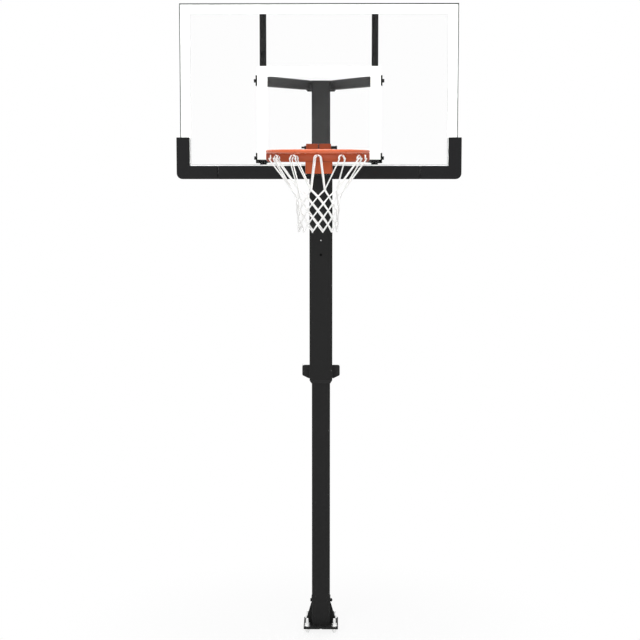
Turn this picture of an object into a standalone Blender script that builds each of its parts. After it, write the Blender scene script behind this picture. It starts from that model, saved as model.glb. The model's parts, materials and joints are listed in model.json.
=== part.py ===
# Bolt-down basketball hoop: square telescoping pole, glass board, sprung rim and net.
# Metres, +Z up. The origin is the centre of the base plate's underside.
# The board faces -Y, and +X is to the right for someone who faces the board.

import math

import bmesh
import bpy
from mathutils import Matrix, Vector

# Clearances
GAP = 0.0003
SLIDE_GAP = 0.0004
HOLE_PLAY = 0.0003

# Heights at rest: the sleeve's foot above the base plate's underside, and the rest from the sleeve
SLEEVE_BOTTOM = 1.4213
SLEEVE_LENGTH = 1.200
RIM_OVER_SLEEVE = 0.0642
POLE_IN_SLEEVE = 0.5187
STRUT_BOLT_UP = 0.7797
SPARE_HOLE_DOWN = 0.080
STRUT_SEAT_DOWN = 0.740
HINGE_OVER_RIM = 0.015

# Base plate and its anchors
PLATE_SIZE = 0.1946
PLATE_THICK = 0.0127
PLATE_CORNER = 0.004
PLATE_NOTCH_R = 0.008
STUD_PITCH = 0.1524
STUD_R = 0.0079
STUD_ABOVE = 0.0440
STUD_BELOW = 0.0237
STUD_CHAMFER = 0.002
ANCHOR_NUT_AF = 0.0238
ANCHOR_NUT_H = 0.0137
WASHER_R = 0.0165
WASHER_T = 0.0028

# Base brackets and the bolt through the pole
BRACKET_STRAP_T = 0.003
BRACKET_STRAP_W = 0.060
BRACKET_TOP = 0.165
RIB_T = 0.006
RIB_FOOT = 0.034
RIB_TOP = 0.127
BASE_BOLT_Z = 0.143

# Common bolt: shaft radius, head across flats, head height
BOLT_R = 0.005
BOLT_AF = 0.017
BOLT_HEAD = 0.0064
BOLT_NUT = 0.0084
BOLT_TIP = 0.0025

# Square poles
POLE_SIZE = 0.1016
POLE_WALL = 0.003
POLE_CORNER = 0.010
SLEEVE_SIZE = 0.127
SLEEVE_WALL = 0.0025
SLEEVE_CORNER = 0.012
UPPER_POLE_INSERT = 0.235

# Plastic collars
BUSHING_FLANGE = 0.021
BUSHING_TAPER = 0.0105
BUSHING_DEPTH = 0.055
GLIDE_LENGTH = 0.056
COLLAR_DEPTH = 0.050
COLLAR_FLANGE = 0.004
LOW_SPACER_H = 0.040
LOW_SPACER_UP = 0.006
CAP_T = 0.0035
CAP_PLUG = 0.018

# Gas strut inside the pole
STRUT_R = 0.014
STRUT_WALL = 0.0025
STRUT_LENGTH = 0.690
STRUT_SEAT_T = 0.010
STRUT_END_T = 0.010
ROD_R = 0.005
ROD_BELOW_BOLT = 0.711
PISTON_H = 0.020
EYE_R = 0.010
EYE_LENGTH = 0.016
STRUT_BOLT_R = 0.004
STRUT_BOLT_AF = 0.013
STRUT_BOLT_HEAD = 0.0053
STRUT_NUT_H = 0.0065

# Bolts that hold the upper pole in the sleeve, above the pole's foot
SLEEVE_BOLT_LOW = 0.075
SLEEVE_BOLT_HIGH = 0.155
SLEEVE_BOLT_INSIDE = 0.016

# Board
BOARD_FACE = 0.889
BOARD_WIDTH = 1.3716
BOARD_HEIGHT = 0.8382
BOARD_DROP = 0.1205
GLASS_T = 0.005
PRINT_T = 0.0004
BORDER_W = 0.052
TARGET_WIDTH = 0.6096
TARGET_HEIGHT = 0.4572
TARGET_STRIPE = 0.0508
TARGET_DROP = 0.0435
PRINT_SPLIT = 0.062

# Board frame
RAIL_W = 0.0381
RAIL_DEPTH = 0.0254
RAIL_WALL = 0.002
RAIL_INSET = 0.004
CHANNEL_W = 0.032
CHANNEL_X = 0.2757

# Arms between the pole and the board
ARM_SIZE = 0.0508
ARM_WALL = 0.0025
ARM_CORNER = 0.005
ARM_X = 0.2856
ARM_STRAIGHT = 0.070
ARM_ROOT_X = 0.0797
ARM_ROOT_Y = -0.020
ARM_RISE = 0.0240
ARM_UPPER_UP = 0.4652
ARM_LOWER_UP = 0.0840
ARM_BOLT_IN = 0.027
ROOT_BOLT_IN = 0.045
POLE_OVER_ARM = 0.0195
BRACKET_WALL = 0.0025
BRACKET_PLAY = 0.0003
BRACKET_DEPTH = 0.054
ARM_HEAD = 0.0095
HANGER_T = 0.006
HANGER_REACH = 0.090
HANGER_BACK = 0.055
HANGER_SIDE_PLAY = 0.0025
HANGER_WALL = 0.003
HANGER_TOP = 0.0125
LUG_REACH = 0.0305
LUG_DROP = 0.0095
LUG_SLANT = 0.007
LUG_LENGTH = 0.036

# Edge pads
PAD_LIP = 0.012
PAD_OUT = 0.019
PAD_DOWN = 0.0195
PAD_COVER = 0.0458
PAD_BAND_TOP = 0.0461
PAD_UP = 0.1858
PAD_BACK = 0.010
PAD_FOOT = 0.1858
PAD_SEAM = 0.0012
PAD_CORNER = 0.029

# Rim
RING_R = 0.2366
RING_TUBE_R = 0.00795
RING_CENTRE = 0.381
BRACE_T = 0.004
BRACE_BOTTOM = 0.0485
BRACE_END_RISE = 0.0135
BRACE_END_ARC = 20.0
BRACE_OVERHANG = 5.0
BRACE_STEPS = 26

# Rim plate on the board
PLATE_W = 0.134
PLATE_T = 0.006
PLATE_LOW = 0.0073
PLATE_UP = 0.141
PLATE_BOLT_X = 0.050
PLATE_BOLT_LOW = 0.025
PLATE_BOLT_HIGH = 0.090
PLATE_BOLT_R = 0.004
WELD_NUT_AF = 0.013
WELD_NUT_H = 0.0065
STUD_TIP = 0.002
BACKING_T = 0.004
LUG_X = 0.0515
LUG_T = 0.005
LUG_R = 0.0125
HINGE_OUT = 0.050
HINGE_BOLT_LEFT = 0.090
HINGE_BOLT_RIGHT = 0.085
HINGE_HEAD = 0.008
HINGE_NUT_W = 0.010
HINGE_SPACER_R = 0.0075

# Rim bracket that swings on the hinge bolt
SHEET_T = 0.003
HOUSING_SIDE_GAP = 0.001
HOUSING_TOP_UP = 0.017
HOUSING_SLIT = 0.006
HOUSING_BACK = 0.034
HOUSING_BACK_DOWN = 0.020
HOUSING_LOW_BACK = 0.002
HOUSING_TOP_BACK = 0.014
TONGUE_DOWN = 0.0715
FLANGE_TOP_DOWN = 0.0205
FLANGE_BOTTOM_DOWN = 0.0715
FLANGE_IN = 0.001
SPRING_X = 0.018
SPRING_DOWN = 0.0555
SPRING_R = 0.0095
SPRING_WIRE_R = 0.0015
SPRING_TURNS = 6
SPRING_POINTS = 9
SPRING_BOLT_R = 0.004
SPRING_HEAD_R = 0.0075
SPRING_HEAD_H = 0.0065
SPRING_SLOT_DOWN = 0.013
SPRING_SLOT_UP = 0.005

# Net and its hooks
HOOKS = 12
HOOK_WIRE_R = 0.002
HOOK_OUTER = 0.0086
HOOK_WIDTH = 0.0130
HOOK_TOP = 0.002
HOOK_DROP = 0.0245
HOOK_LIP = 0.004
CORD_R = 0.0037
KNOT_GAP = 0.0014
KNOT_BITE = 0.0020
NET_TOP_PLAY = 0.0009
NET_FIRST_ROW = 0.1865
NET_ROW = 0.0325
NET_ROWS = 7
NET_TOP_R = 0.1255
NET_BOTTOM_R = 0.0925
NET_BEND_SIDE = 0.007
NET_BEND_DROP = 0.003
NET_SHOULDER_SIDE = 0.012
NET_SHOULDER_DROP = 0.012

# Handle behind the sleeve
GRIP_OUT = 0.042
GRIP_TOP = 0.0757
GRIP_LOW = 0.0130
GRIP_TAPER = 0.0070
GRIP_FRONT = 0.004
GRIP_BACK = 0.165
GRIP_BAR_DEPTH = 0.028
GRIP_BAR_TOP = 0.0647
GRIP_BAR_LOW = 0.0307
GRIP_CORNER = 0.010
WEB_T = 0.0117
LEVER_PIN_R = 0.003
LEVER_PIN_Y = 0.088
LEVER_PIN_UP = 0.0627
LEVER_BARREL_R = 0.007
LEVER_X = 0.056
LEVER_ARM_W = 0.008
LEVER_BAR_FRONT = 0.134
LEVER_BAR_LOW = 0.0127
LEVER_BAR_T = 0.007
LEVER_TAB_HALF = 0.006
LEVER_TAB_T = 0.006
LEVER_TAB_END = 0.0275
SHOE_HALF = 0.0125
SHOE_LOW = 0.0227
SHOE_HIGH = 0.0427
SHOE_END = 0.079
SHOE_TAIL_END = 0.097
SHOE_TAIL_LOW = 0.0297
SHOE_TAIL_T = 0.006
SHOE_WINDOW_PLAY = 0.0008
TAB_PLAY = 0.0012
PEG_X = 0.038
PEG_R = 0.003

# Worked-out places that several pieces share
POLE_HALF = POLE_SIZE / 2
SLEEVE_HALF = SLEEVE_SIZE / 2
SLEEVE_IN = SLEEVE_HALF - SLEEVE_WALL
SLEEVE_TOP = SLEEVE_BOTTOM + SLEEVE_LENGTH
RIM_TOP = SLEEVE_TOP + RIM_OVER_SLEEVE
HINGE_Z = RIM_TOP + HINGE_OVER_RIM
LOWER_POLE_TOP = SLEEVE_BOTTOM + POLE_IN_SLEEVE
STRUT_BOLT_Z = SLEEVE_BOTTOM + STRUT_BOLT_UP
SPARE_HOLE_Z = STRUT_BOLT_Z - SPARE_HOLE_DOWN
STRUT_SEAT_TOP = LOWER_POLE_TOP - STRUT_SEAT_DOWN
PAD_INNER_X = BOARD_WIDTH / 2 - PAD_COVER
PAD_SEAM_X = BOARD_WIDTH / 2 - PAD_FOOT
UPPER_POLE_FOOT = SLEEVE_TOP - UPPER_POLE_INSERT
PLATE_TOP = PLATE_THICK
GLASS_FRONT = -BOARD_FACE
GLASS_BACK = GLASS_FRONT + GLASS_T
BOARD_BOTTOM = RIM_TOP - BOARD_DROP
BOARD_TOP = BOARD_BOTTOM + BOARD_HEIGHT
PRINT_FRONT = GLASS_BACK + GAP
FRAME_FRONT = PRINT_FRONT + PRINT_T + GAP
FRAME_BACK = FRAME_FRONT + RAIL_DEPTH
RAIL_LOW = BOARD_BOTTOM + RAIL_INSET
RAIL_HIGH = BOARD_TOP - RAIL_INSET
ARM_HALF = ARM_SIZE / 2
ARM_Z = {"upper": BOARD_BOTTOM + ARM_UPPER_UP, "lower": BOARD_BOTTOM + ARM_LOWER_UP}
ARM_FRONT = FRAME_BACK + BRACKET_WALL + GAP
ARM_BEND = ARM_FRONT + ARM_STRAIGHT
ARM_BOLT_Y = ARM_FRONT + ARM_BOLT_IN
POLE_TOP = ARM_Z["upper"] + ARM_RISE + POLE_OVER_ARM
RING_Y = GLASS_FRONT - RING_CENTRE
RING_Z = RIM_TOP - RING_TUBE_R
RIM_PLATE_BACK = GLASS_FRONT - GAP
RIM_PLATE_FRONT = RIM_PLATE_BACK - PLATE_T
HINGE_Y = GLASS_FRONT - HINGE_OUT
HOUSING_IN = LUG_X + LUG_T + HOUSING_SIDE_GAP
HOUSING_OUT = HOUSING_IN + SHEET_T


# Colours

def linear(hex_code):
    """Turn an sRGB hex colour into linear values."""
    values = []
    for i in (0, 2, 4):
        c = int(hex_code[i:i + 2], 16) / 255
        values.append(c / 12.92 if c <= 0.04045 else ((c + 0.055) / 1.055) ** 2.4)
    return (*values, 1.0)


def make_material(name, hex_code, roughness, metallic, alpha=1.0):
    mat = bpy.data.materials.new(name)
    mat.use_nodes = True
    shader = mat.node_tree.nodes["Principled BSDF"]
    shader.inputs["Base Color"].default_value = linear(hex_code)
    shader.inputs["Roughness"].default_value = roughness
    shader.inputs["Metallic"].default_value = metallic
    shader.inputs["Alpha"].default_value = alpha
    mat.diffuse_color = (*linear(hex_code)[:3], alpha)
    return mat


def make_materials():
    return {
        "black_powder_coat": make_material("black_powder_coat", "2d2d2d", 0.55, 0.0),
        "orange_powder_coat": make_material("orange_powder_coat", "d8643a", 0.40, 0.0),
        "zinc": make_material("zinc", "c9c9c6", 0.35, 1.0),
        "steel": make_material("steel", "8c8f92", 0.35, 1.0),
        "black_plastic": make_material("black_plastic", "262626", 0.60, 0.0),
        "pad_polymer": make_material("pad_polymer", "2b2b2b", 0.70, 0.0),
        "glass": make_material("glass", "eef4f2", 0.03, 0.0, 0.25),
        "white_ceramic_print": make_material("white_ceramic_print", "f6f6f6", 0.45, 0.0),
        "net_cord": make_material("net_cord", "f4f4f2", 0.85, 0.0),
        "brake_rubber": make_material("brake_rubber", "1c1c1c", 0.85, 0.0),
    }


# Shapes

def round_rect(half_x, half_y, radius, steps=3):
    """Corner points of a rectangle with rounded corners, anticlockwise."""
    points = []
    for quarter, (sx, sy) in enumerate(((1, 1), (-1, 1), (-1, -1), (1, -1))):
        cx = sx * (half_x - radius)
        cy = sy * (half_y - radius)
        for i in range(steps + 1):
            angle = math.radians(90 * quarter + 90 * i / steps)
            points.append((cx + radius * math.cos(angle), cy + radius * math.sin(angle)))
    return points


def circle(radius, count=12, turn=0.0):
    step = 2 * math.pi / count
    return [(radius * math.cos(turn + step * i), radius * math.sin(turn + step * i))
            for i in range(count)]


def hexagon(across_flats, count=12):
    """A hexagon with a point at each corner and each flat's middle."""
    points = []
    for i in range(count):
        angle = 2 * math.pi * i / count
        reach = across_flats / 2 / math.cos(math.pi / 6) if i % 2 == 0 else across_flats / 2
        points.append((reach * math.cos(angle), reach * math.sin(angle)))
    return points


def to_axis(axis, u, v, w, centre=(0.0, 0.0, 0.0)):
    """Place a flat point (u, v) at height w along the axis."""
    cx, cy, cz = centre
    if axis == "Z":
        return (cx + u, cy + v, cz + w)
    if axis == "X":
        return (cx + w, cy + u, cz + v)
    return (cx + v, cy + w, cz + u)


def prism(bm, outline, axis, low, high, centre=(0.0, 0.0, 0.0)):
    """A solid with a flat outline, between two heights along an axis."""
    rings = [[bm.verts.new(to_axis(axis, u, v, w, centre)) for u, v in outline] for w in (low, high)]
    bm.faces.new(list(reversed(rings[0])))
    bm.faces.new(rings[1])
    bridge(bm, rings[0], rings[1])


def bridge(bm, lower, upper):
    count = len(lower)
    for i in range(count):
        j = (i + 1) % count
        bm.faces.new((lower[i], lower[j], upper[j], upper[i]))


def ring_prism(bm, outer, inner, axis, low, high, centre=(0.0, 0.0, 0.0)):
    """A prism with a hole; both outlines have as many points."""
    loops = []
    for outline in (outer, inner):
        for w in (low, high):
            loops.append([bm.verts.new(to_axis(axis, u, v, w, centre)) for u, v in outline])
    outer_low, outer_high, inner_low, inner_high = loops
    bridge(bm, outer_low, outer_high)
    bridge(bm, outer_high, inner_high)
    bridge(bm, inner_high, inner_low)
    bridge(bm, inner_low, outer_low)


def box(bm, x, y, z):
    """A block between the low and high values given for each axis."""
    prism(bm, [(x[0], y[0]), (x[1], y[0]), (x[1], y[1]), (x[0], y[1])], "Z", z[0], z[1])


def square_turn(bm, profile, base_half, base_corner, centre=(0.0, 0.0), closed=True):
    """Carry a profile of (half width, height) round a rounded square."""
    rings = []
    for half, height in profile:
        corner = max(0.0015, base_corner + half - base_half)
        outline = round_rect(half, half, corner)
        rings.append([bm.verts.new((centre[0] + u, centre[1] + v, height)) for u, v in outline])
    close_profile(bm, rings, closed)


def turn_round(bm, profile, axis, centre, count=16, closed=True):
    """Carry a profile of (radius, height) round a circle."""
    rings = []
    for radius, height in profile:
        rings.append([bm.verts.new(to_axis(axis, u, v, height, centre)) for u, v in circle(radius, count)])
    close_profile(bm, rings, closed)


def close_profile(bm, rings, closed):
    """Join rings that run up the outside; cap the ends of an open profile."""
    for lower, upper in zip(rings, rings[1:]):
        bridge(bm, lower, upper)
    if closed:
        bridge(bm, rings[-1], rings[0])
    else:
        bm.faces.new(list(reversed(rings[0])))
        bm.faces.new(rings[-1])


def finish(name, bm, material, smooth=True):
    """Turn a bmesh into a named object."""
    bmesh.ops.recalc_face_normals(bm, faces=bm.faces[:])
    mesh = bpy.data.meshes.new(name)
    bm.to_mesh(mesh)
    bm.free()
    obj = bpy.data.objects.new(name, mesh)
    bpy.context.scene.collection.objects.link(obj)
    if material:
        mesh.materials.append(material)
    shade(mesh, smooth)
    return obj


def shade(mesh, smooth):
    if smooth:
        mesh.shade_smooth()
        mesh.set_sharp_from_angle(angle=math.radians(35))


def scratch(bm):
    """A helper solid that is used once and removed."""
    bmesh.ops.recalc_face_normals(bm, faces=bm.faces[:])
    mesh = bpy.data.meshes.new("scratch")
    bm.to_mesh(mesh)
    bm.free()
    obj = bpy.data.objects.new("scratch", mesh)
    bpy.context.scene.collection.objects.link(obj)
    return obj


def combine(obj, other_bm, operation):
    """Cut another solid out of an object, or join it on."""
    tool = scratch(other_bm)
    modifier = obj.modifiers.new("combine", "BOOLEAN")
    modifier.object = tool
    modifier.operation = operation
    modifier.solver = "EXACT"
    material = obj.data.materials[0]
    bpy.context.view_layer.update()
    graph = bpy.context.evaluated_depsgraph_get()
    result = bpy.data.meshes.new_from_object(obj.evaluated_get(graph))
    obj.modifiers.remove(modifier)
    old = obj.data
    obj.data = result
    result.materials.clear()
    result.materials.append(material)
    tidy_mesh(result)
    shade(result, True)
    bpy.data.objects.remove(tool)
    bpy.data.meshes.remove(old)


def tidy_mesh(mesh):
    """Drop doubled points and flat slivers that a cut can leave."""
    bm = bmesh.new()
    bm.from_mesh(mesh)
    bmesh.ops.remove_doubles(bm, verts=bm.verts[:], dist=0.000002)
    bmesh.ops.dissolve_degenerate(bm, edges=bm.edges[:], dist=0.000002)
    bm.to_mesh(mesh)
    bm.free()


def cut_holes(obj, holes):
    """Cut round holes: each is (axis, centre, radius, low, high)."""
    bm = bmesh.new()
    for axis, centre, radius, low, high in holes:
        prism(bm, circle(radius, 12), axis, low, high, centre)
    combine(obj, bm, "DIFFERENCE")


def add_curve(name, points, radius, material, sides=1):
    """A round cord along points, as a mesh with filled ends."""
    data = bpy.data.curves.new(name, "CURVE")
    data.dimensions = "3D"
    data.bevel_depth = radius
    data.bevel_resolution = sides
    data.use_fill_caps = True
    spline = data.splines.new("POLY")
    spline.points.add(len(points) - 1)
    for slot, point in zip(spline.points, points):
        slot.co = (*point, 1.0)
    obj = bpy.data.objects.new(name, data)
    bpy.context.scene.collection.objects.link(obj)
    bpy.context.view_layer.update()
    graph = bpy.context.evaluated_depsgraph_get()
    mesh = bpy.data.meshes.new_from_object(obj.evaluated_get(graph))
    bpy.data.objects.remove(obj)
    bpy.data.curves.remove(data)
    bm = bmesh.new()
    bm.from_mesh(mesh)
    bmesh.ops.remove_doubles(bm, verts=bm.verts[:], dist=0.00001)
    bpy.data.meshes.remove(mesh)
    return finish(name, bm, material)


# Fasteners

def loft(bm, axis, centre, levels):
    """Join flat loops, each at its height along the axis, into one solid."""
    rings = [[bm.verts.new(to_axis(axis, u, v, w, centre)) for u, v in loop] for loop, w in levels]
    close_profile(bm, rings, False)


def make_bolt(name, material, axis, centre, seat, tip, size, nut=None):
    """A bolt from its head's seat to its tip.

    The size is (radius, flats, head height), and a nut is (seat, height).
    """
    radius, flats, head = size
    way = 1 if tip > seat else -1
    shaft = circle(radius, 12)
    hexa = hexagon(flats)
    levels = [(hexa, seat - way * head), (hexa, seat), (shaft, seat)]
    if nut:
        place, height = nut
        levels += [(shaft, place), (hexa, place), (hexa, place + way * height),
                   (shaft, place + way * height)]
    levels.append((shaft, tip))
    bm = bmesh.new()
    loft(bm, axis, centre, levels)
    return finish(name, bm, material)


def mirror_sides():
    return (("left", -1), ("right", 1))


def stud_places():
    half = STUD_PITCH / 2
    return [("anchor_" + row + "_" + word, side * half, y)
            for row, y in (("front", -half), ("rear", half)) for word, side in mirror_sides()]


# Base

def make_base_plate(mats):
    bm = bmesh.new()
    half = PLATE_SIZE / 2
    prism(bm, round_rect(half, half, PLATE_CORNER, 2), "Z", 0.0, PLATE_THICK)
    plate = finish("base_plate", bm, mats["black_powder_coat"])
    reach = PLATE_THICK * 2
    holes = [("Z", (x, y, 0.0), STUD_R + 2 * HOLE_PLAY, -reach, reach) for _, x, y in stud_places()]
    holes.append(("Z", (0.0, -half, 0.0), PLATE_NOTCH_R, -reach, reach))
    cut_holes(plate, holes)
    return plate


def make_base_bracket(mats, name, side):
    """A strap against the pole's side with a rib that flares to the plate."""
    inner = POLE_HALF + GAP
    strap = sorted((side * inner, side * (inner + BRACKET_STRAP_T)))
    foot = PLATE_TOP + GAP
    bm = bmesh.new()
    box(bm, strap, (-BRACKET_STRAP_W / 2, BRACKET_STRAP_W / 2), (foot, BRACKET_TOP))
    bracket = finish(name, bm, mats["black_powder_coat"])
    bm = bmesh.new()
    root = inner + BRACKET_STRAP_T / 2
    tip = inner + BRACKET_STRAP_T + 0.002
    outline = [(foot, side * root), (foot, side * (inner + RIB_FOOT)),
               (foot + 0.012, side * (inner + RIB_FOOT)), (RIB_TOP, side * tip), (RIB_TOP, side * root)]
    prism(bm, outline, "Y", -RIB_T / 2, RIB_T / 2)
    combine(bracket, bm, "UNION")
    cut_holes(bracket, [("X", (0.0, 0.0, BASE_BOLT_Z), BOLT_R + HOLE_PLAY, -0.12, 0.12)])
    return bracket


def make_base_bolt(mats):
    seat = POLE_HALF + GAP + BRACKET_STRAP_T + GAP
    return make_bolt("base_cross_bolt", mats["black_powder_coat"], "X", (0, 0, BASE_BOLT_Z), -seat,
                     seat + BOLT_NUT + BOLT_TIP, (BOLT_R, BOLT_AF, BOLT_HEAD), (seat, BOLT_NUT))


def make_anchors(mats):
    """Threaded studs, each with a levelling nut below the plate and a washer and nut above."""
    washer_low = PLATE_TOP + GAP
    nut_low = washer_low + WASHER_T
    nut_high = nut_low + ANCHOR_NUT_H
    top = PLATE_TOP + STUD_ABOVE
    stud = circle(STUD_R)
    tip = circle(STUD_R - STUD_CHAMFER)
    hexa = hexagon(ANCHOR_NUT_AF)
    washer = circle(WASHER_R)
    levels = [(stud, -STUD_BELOW), (stud, -GAP - ANCHOR_NUT_H), (hexa, -GAP - ANCHOR_NUT_H), (hexa, -GAP),
              (stud, -GAP), (stud, washer_low), (washer, washer_low), (washer, nut_low), (hexa, nut_low),
              (hexa, nut_high), (stud, nut_high), (stud, top - STUD_CHAMFER), (tip, top)]
    for name, x, y in stud_places():
        bm = bmesh.new()
        loft(bm, "Z", (x, y, 0), levels)
        finish(name, bm, mats["zinc"])


def make_lower_pole(mats):
    """The fixed square tube, with the strut's seat plate welded across its inside."""
    bm = bmesh.new()
    inner = POLE_HALF - POLE_WALL
    foot = PLATE_TOP + GAP
    seat = STRUT_SEAT_TOP - GAP
    square_turn(bm, [(inner, seat - STRUT_SEAT_T), (inner, foot), (POLE_HALF, foot),
                     (POLE_HALF, LOWER_POLE_TOP), (inner, LOWER_POLE_TOP), (inner, seat)],
                POLE_HALF, POLE_CORNER, closed=False)
    pole = finish("lower_pole", bm, mats["black_powder_coat"])
    cut_holes(pole, [("X", (0, 0, BASE_BOLT_Z), BOLT_R + HOLE_PLAY, -POLE_SIZE, POLE_SIZE)])
    return pole


def make_pole_glide(mats):
    """A plastic collar on the lower pole's top end that runs inside the sleeve."""
    bm = bmesh.new()
    inner = POLE_HALF + GAP
    outer = SLEEVE_IN - SLIDE_GAP
    lip = LOWER_POLE_TOP + GAP
    low = LOWER_POLE_TOP - GLIDE_LENGTH
    square_turn(bm, [(outer, low), (outer, lip + 0.003), (POLE_HALF - POLE_WALL, lip + 0.003),
                     (POLE_HALF - POLE_WALL, lip), (inner, lip), (inner, low)],
                SLEEVE_HALF, SLEEVE_CORNER)
    return finish("pole_top_glide", bm, mats["black_plastic"])


def make_strut_cylinder(mats):
    """A tube with a closed foot and a gland that guides the rod."""
    bore = STRUT_R - STRUT_WALL
    gland = ROD_R + SLIDE_GAP
    low = STRUT_SEAT_TOP
    high = STRUT_SEAT_TOP + STRUT_LENGTH
    bm = bmesh.new()
    profile = [(STRUT_R, low), (STRUT_R, high), (gland, high), (gland, high - STRUT_END_T),
               (bore, high - STRUT_END_T), (bore, low + STRUT_END_T)]
    turn_round(bm, profile, "Z", (0, 0, 0), 12, False)
    return finish("gas_strut_cylinder", bm, mats["black_powder_coat"])


# Sleeve and upper pole

def sleeve_bolt_heights():
    return [UPPER_POLE_FOOT + SLEEVE_BOLT_LOW, UPPER_POLE_FOOT + SLEEVE_BOLT_HIGH]


def make_outer_sleeve(mats):
    bm = bmesh.new()
    square_turn(bm, [(SLEEVE_HALF, SLEEVE_BOTTOM), (SLEEVE_HALF, SLEEVE_TOP), (SLEEVE_IN, SLEEVE_TOP),
                     (SLEEVE_IN, SLEEVE_BOTTOM)], SLEEVE_HALF, SLEEVE_CORNER)
    sleeve = finish("outer_sleeve", bm, mats["black_powder_coat"])
    radius = STRUT_BOLT_R + HOLE_PLAY
    back = (SLEEVE_IN - 0.005, SLEEVE_HALF + 0.005)
    holes = [("Y", (0, 0, z), radius, -SLEEVE_SIZE, SLEEVE_SIZE) for z in (STRUT_BOLT_Z, SPARE_HOLE_Z)]
    holes += [("Y", (0, 0, z), BOLT_R + HOLE_PLAY, *back) for z in sleeve_bolt_heights()]
    holes += [("Y", (x, 0, peg_z()), PEG_R + HOLE_PLAY, *back) for x in (-PEG_X, PEG_X)]
    cut_holes(sleeve, holes)
    combine(sleeve, shoe_window(back[0], back[1]), "DIFFERENCE")
    return sleeve


def shoe_window(y_low, y_high):
    play = SHOE_WINDOW_PLAY
    bm = bmesh.new()
    box(bm, (-SHOE_HALF - play, SHOE_HALF + play), (y_low, y_high),
        (SLEEVE_BOTTOM + SHOE_LOW - play, SLEEVE_BOTTOM + SHOE_HIGH + play))
    return bm


def make_sleeve_bushing(mats):
    """The tapered collar at the sleeve's foot; its lining runs on the lower pole."""
    inner = POLE_HALF + SLIDE_GAP
    lining = SLEEVE_IN - GAP
    shoulder = SLEEVE_BOTTOM - GAP
    low = SLEEVE_BOTTOM - BUSHING_FLANGE
    outer = SLEEVE_HALF - 0.0002
    profile = [(inner, low), (outer - BUSHING_TAPER, low), (outer, shoulder - 0.004), (outer, shoulder),
               (lining, shoulder), (lining, SLEEVE_BOTTOM + BUSHING_DEPTH),
               (inner, SLEEVE_BOTTOM + BUSHING_DEPTH)]
    bm = bmesh.new()
    square_turn(bm, profile, SLEEVE_HALF, SLEEVE_CORNER)
    bushing = finish("sleeve_bushing", bm, mats["black_plastic"])
    combine(bushing, shoe_window(inner - 0.005, SLEEVE_IN + 0.005), "DIFFERENCE")
    return bushing


def make_sleeve_spacers(mats):
    """Two plastic rings that centre the upper pole in the sleeve."""
    inner = POLE_HALF + GAP
    lining = SLEEVE_IN - GAP
    top = SLEEVE_TOP + GAP
    bm = bmesh.new()
    square_turn(bm, [(lining, SLEEVE_TOP - COLLAR_DEPTH), (lining, top), (SLEEVE_HALF, top),
                     (SLEEVE_HALF - 0.002, top + COLLAR_FLANGE), (inner, top + COLLAR_FLANGE),
                     (inner, SLEEVE_TOP - COLLAR_DEPTH)], SLEEVE_HALF, SLEEVE_CORNER)
    spacers = [finish("sleeve_spacer_top", bm, mats["black_plastic"])]
    low = UPPER_POLE_FOOT + LOW_SPACER_UP
    bm = bmesh.new()
    square_turn(bm, [(lining, low), (lining, low + LOW_SPACER_H), (inner, low + LOW_SPACER_H),
                     (inner, low)], SLEEVE_HALF, SLEEVE_CORNER)
    spacers.append(finish("sleeve_spacer_low", bm, mats["black_plastic"]))
    return spacers


def make_upper_pole(mats):
    """The upper square tube with the plates that carry the arms welded to its sides."""
    inner = POLE_HALF - POLE_WALL
    bm = bmesh.new()
    square_turn(bm, [(POLE_HALF, UPPER_POLE_FOOT), (POLE_HALF, POLE_TOP), (inner, POLE_TOP),
                     (inner, UPPER_POLE_FOOT)], POLE_HALF, POLE_CORNER)
    pole = finish("upper_pole", bm, mats["black_powder_coat"])
    combine(pole, hanger_plates(), "UNION")
    combine(pole, hanger_walls(), "UNION")
    combine(pole, arm_lugs(), "UNION")
    holes = [("Y", (0, 0, z), BOLT_R + HOLE_PLAY, inner - 0.005, POLE_HALF + 0.005)
             for z in sleeve_bolt_heights()]
    cut_holes(pole, holes)
    for _, side in mirror_sides():
        for level in ARM_Z:
            combine(pole, root_hole(side, level), "DIFFERENCE")
    return pole


def make_pole_cap(mats):
    low = POLE_TOP + GAP
    plug = POLE_HALF - POLE_WALL - GAP
    bm = bmesh.new()
    square_turn(bm, [(plug, POLE_TOP - CAP_PLUG), (plug, low), (POLE_HALF, low),
                     (POLE_HALF, low + CAP_T - 0.001), (POLE_HALF - 0.001, low + CAP_T)],
                POLE_HALF, POLE_CORNER, closed=False)
    return finish("pole_cap", bm, mats["black_plastic"])


def make_sleeve_bolts(mats):
    seat = SLEEVE_HALF + GAP
    tip = POLE_HALF - SLEEVE_BOLT_INSIDE
    return [make_bolt("sleeve_bolt_" + word, mats["black_powder_coat"], "Y", (0, 0, z), seat, tip,
                      (BOLT_R, BOLT_AF, BOLT_HEAD))
            for word, z in zip(("lower", "upper"), sleeve_bolt_heights())]


def make_strut_bolt(mats):
    seat = SLEEVE_HALF + GAP
    return make_bolt("strut_bolt", mats["zinc"], "Y", (0, 0, STRUT_BOLT_Z), -seat,
                     seat + STRUT_NUT_H + BOLT_TIP, (STRUT_BOLT_R, STRUT_BOLT_AF, STRUT_BOLT_HEAD),
                     (seat, STRUT_NUT_H))


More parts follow.
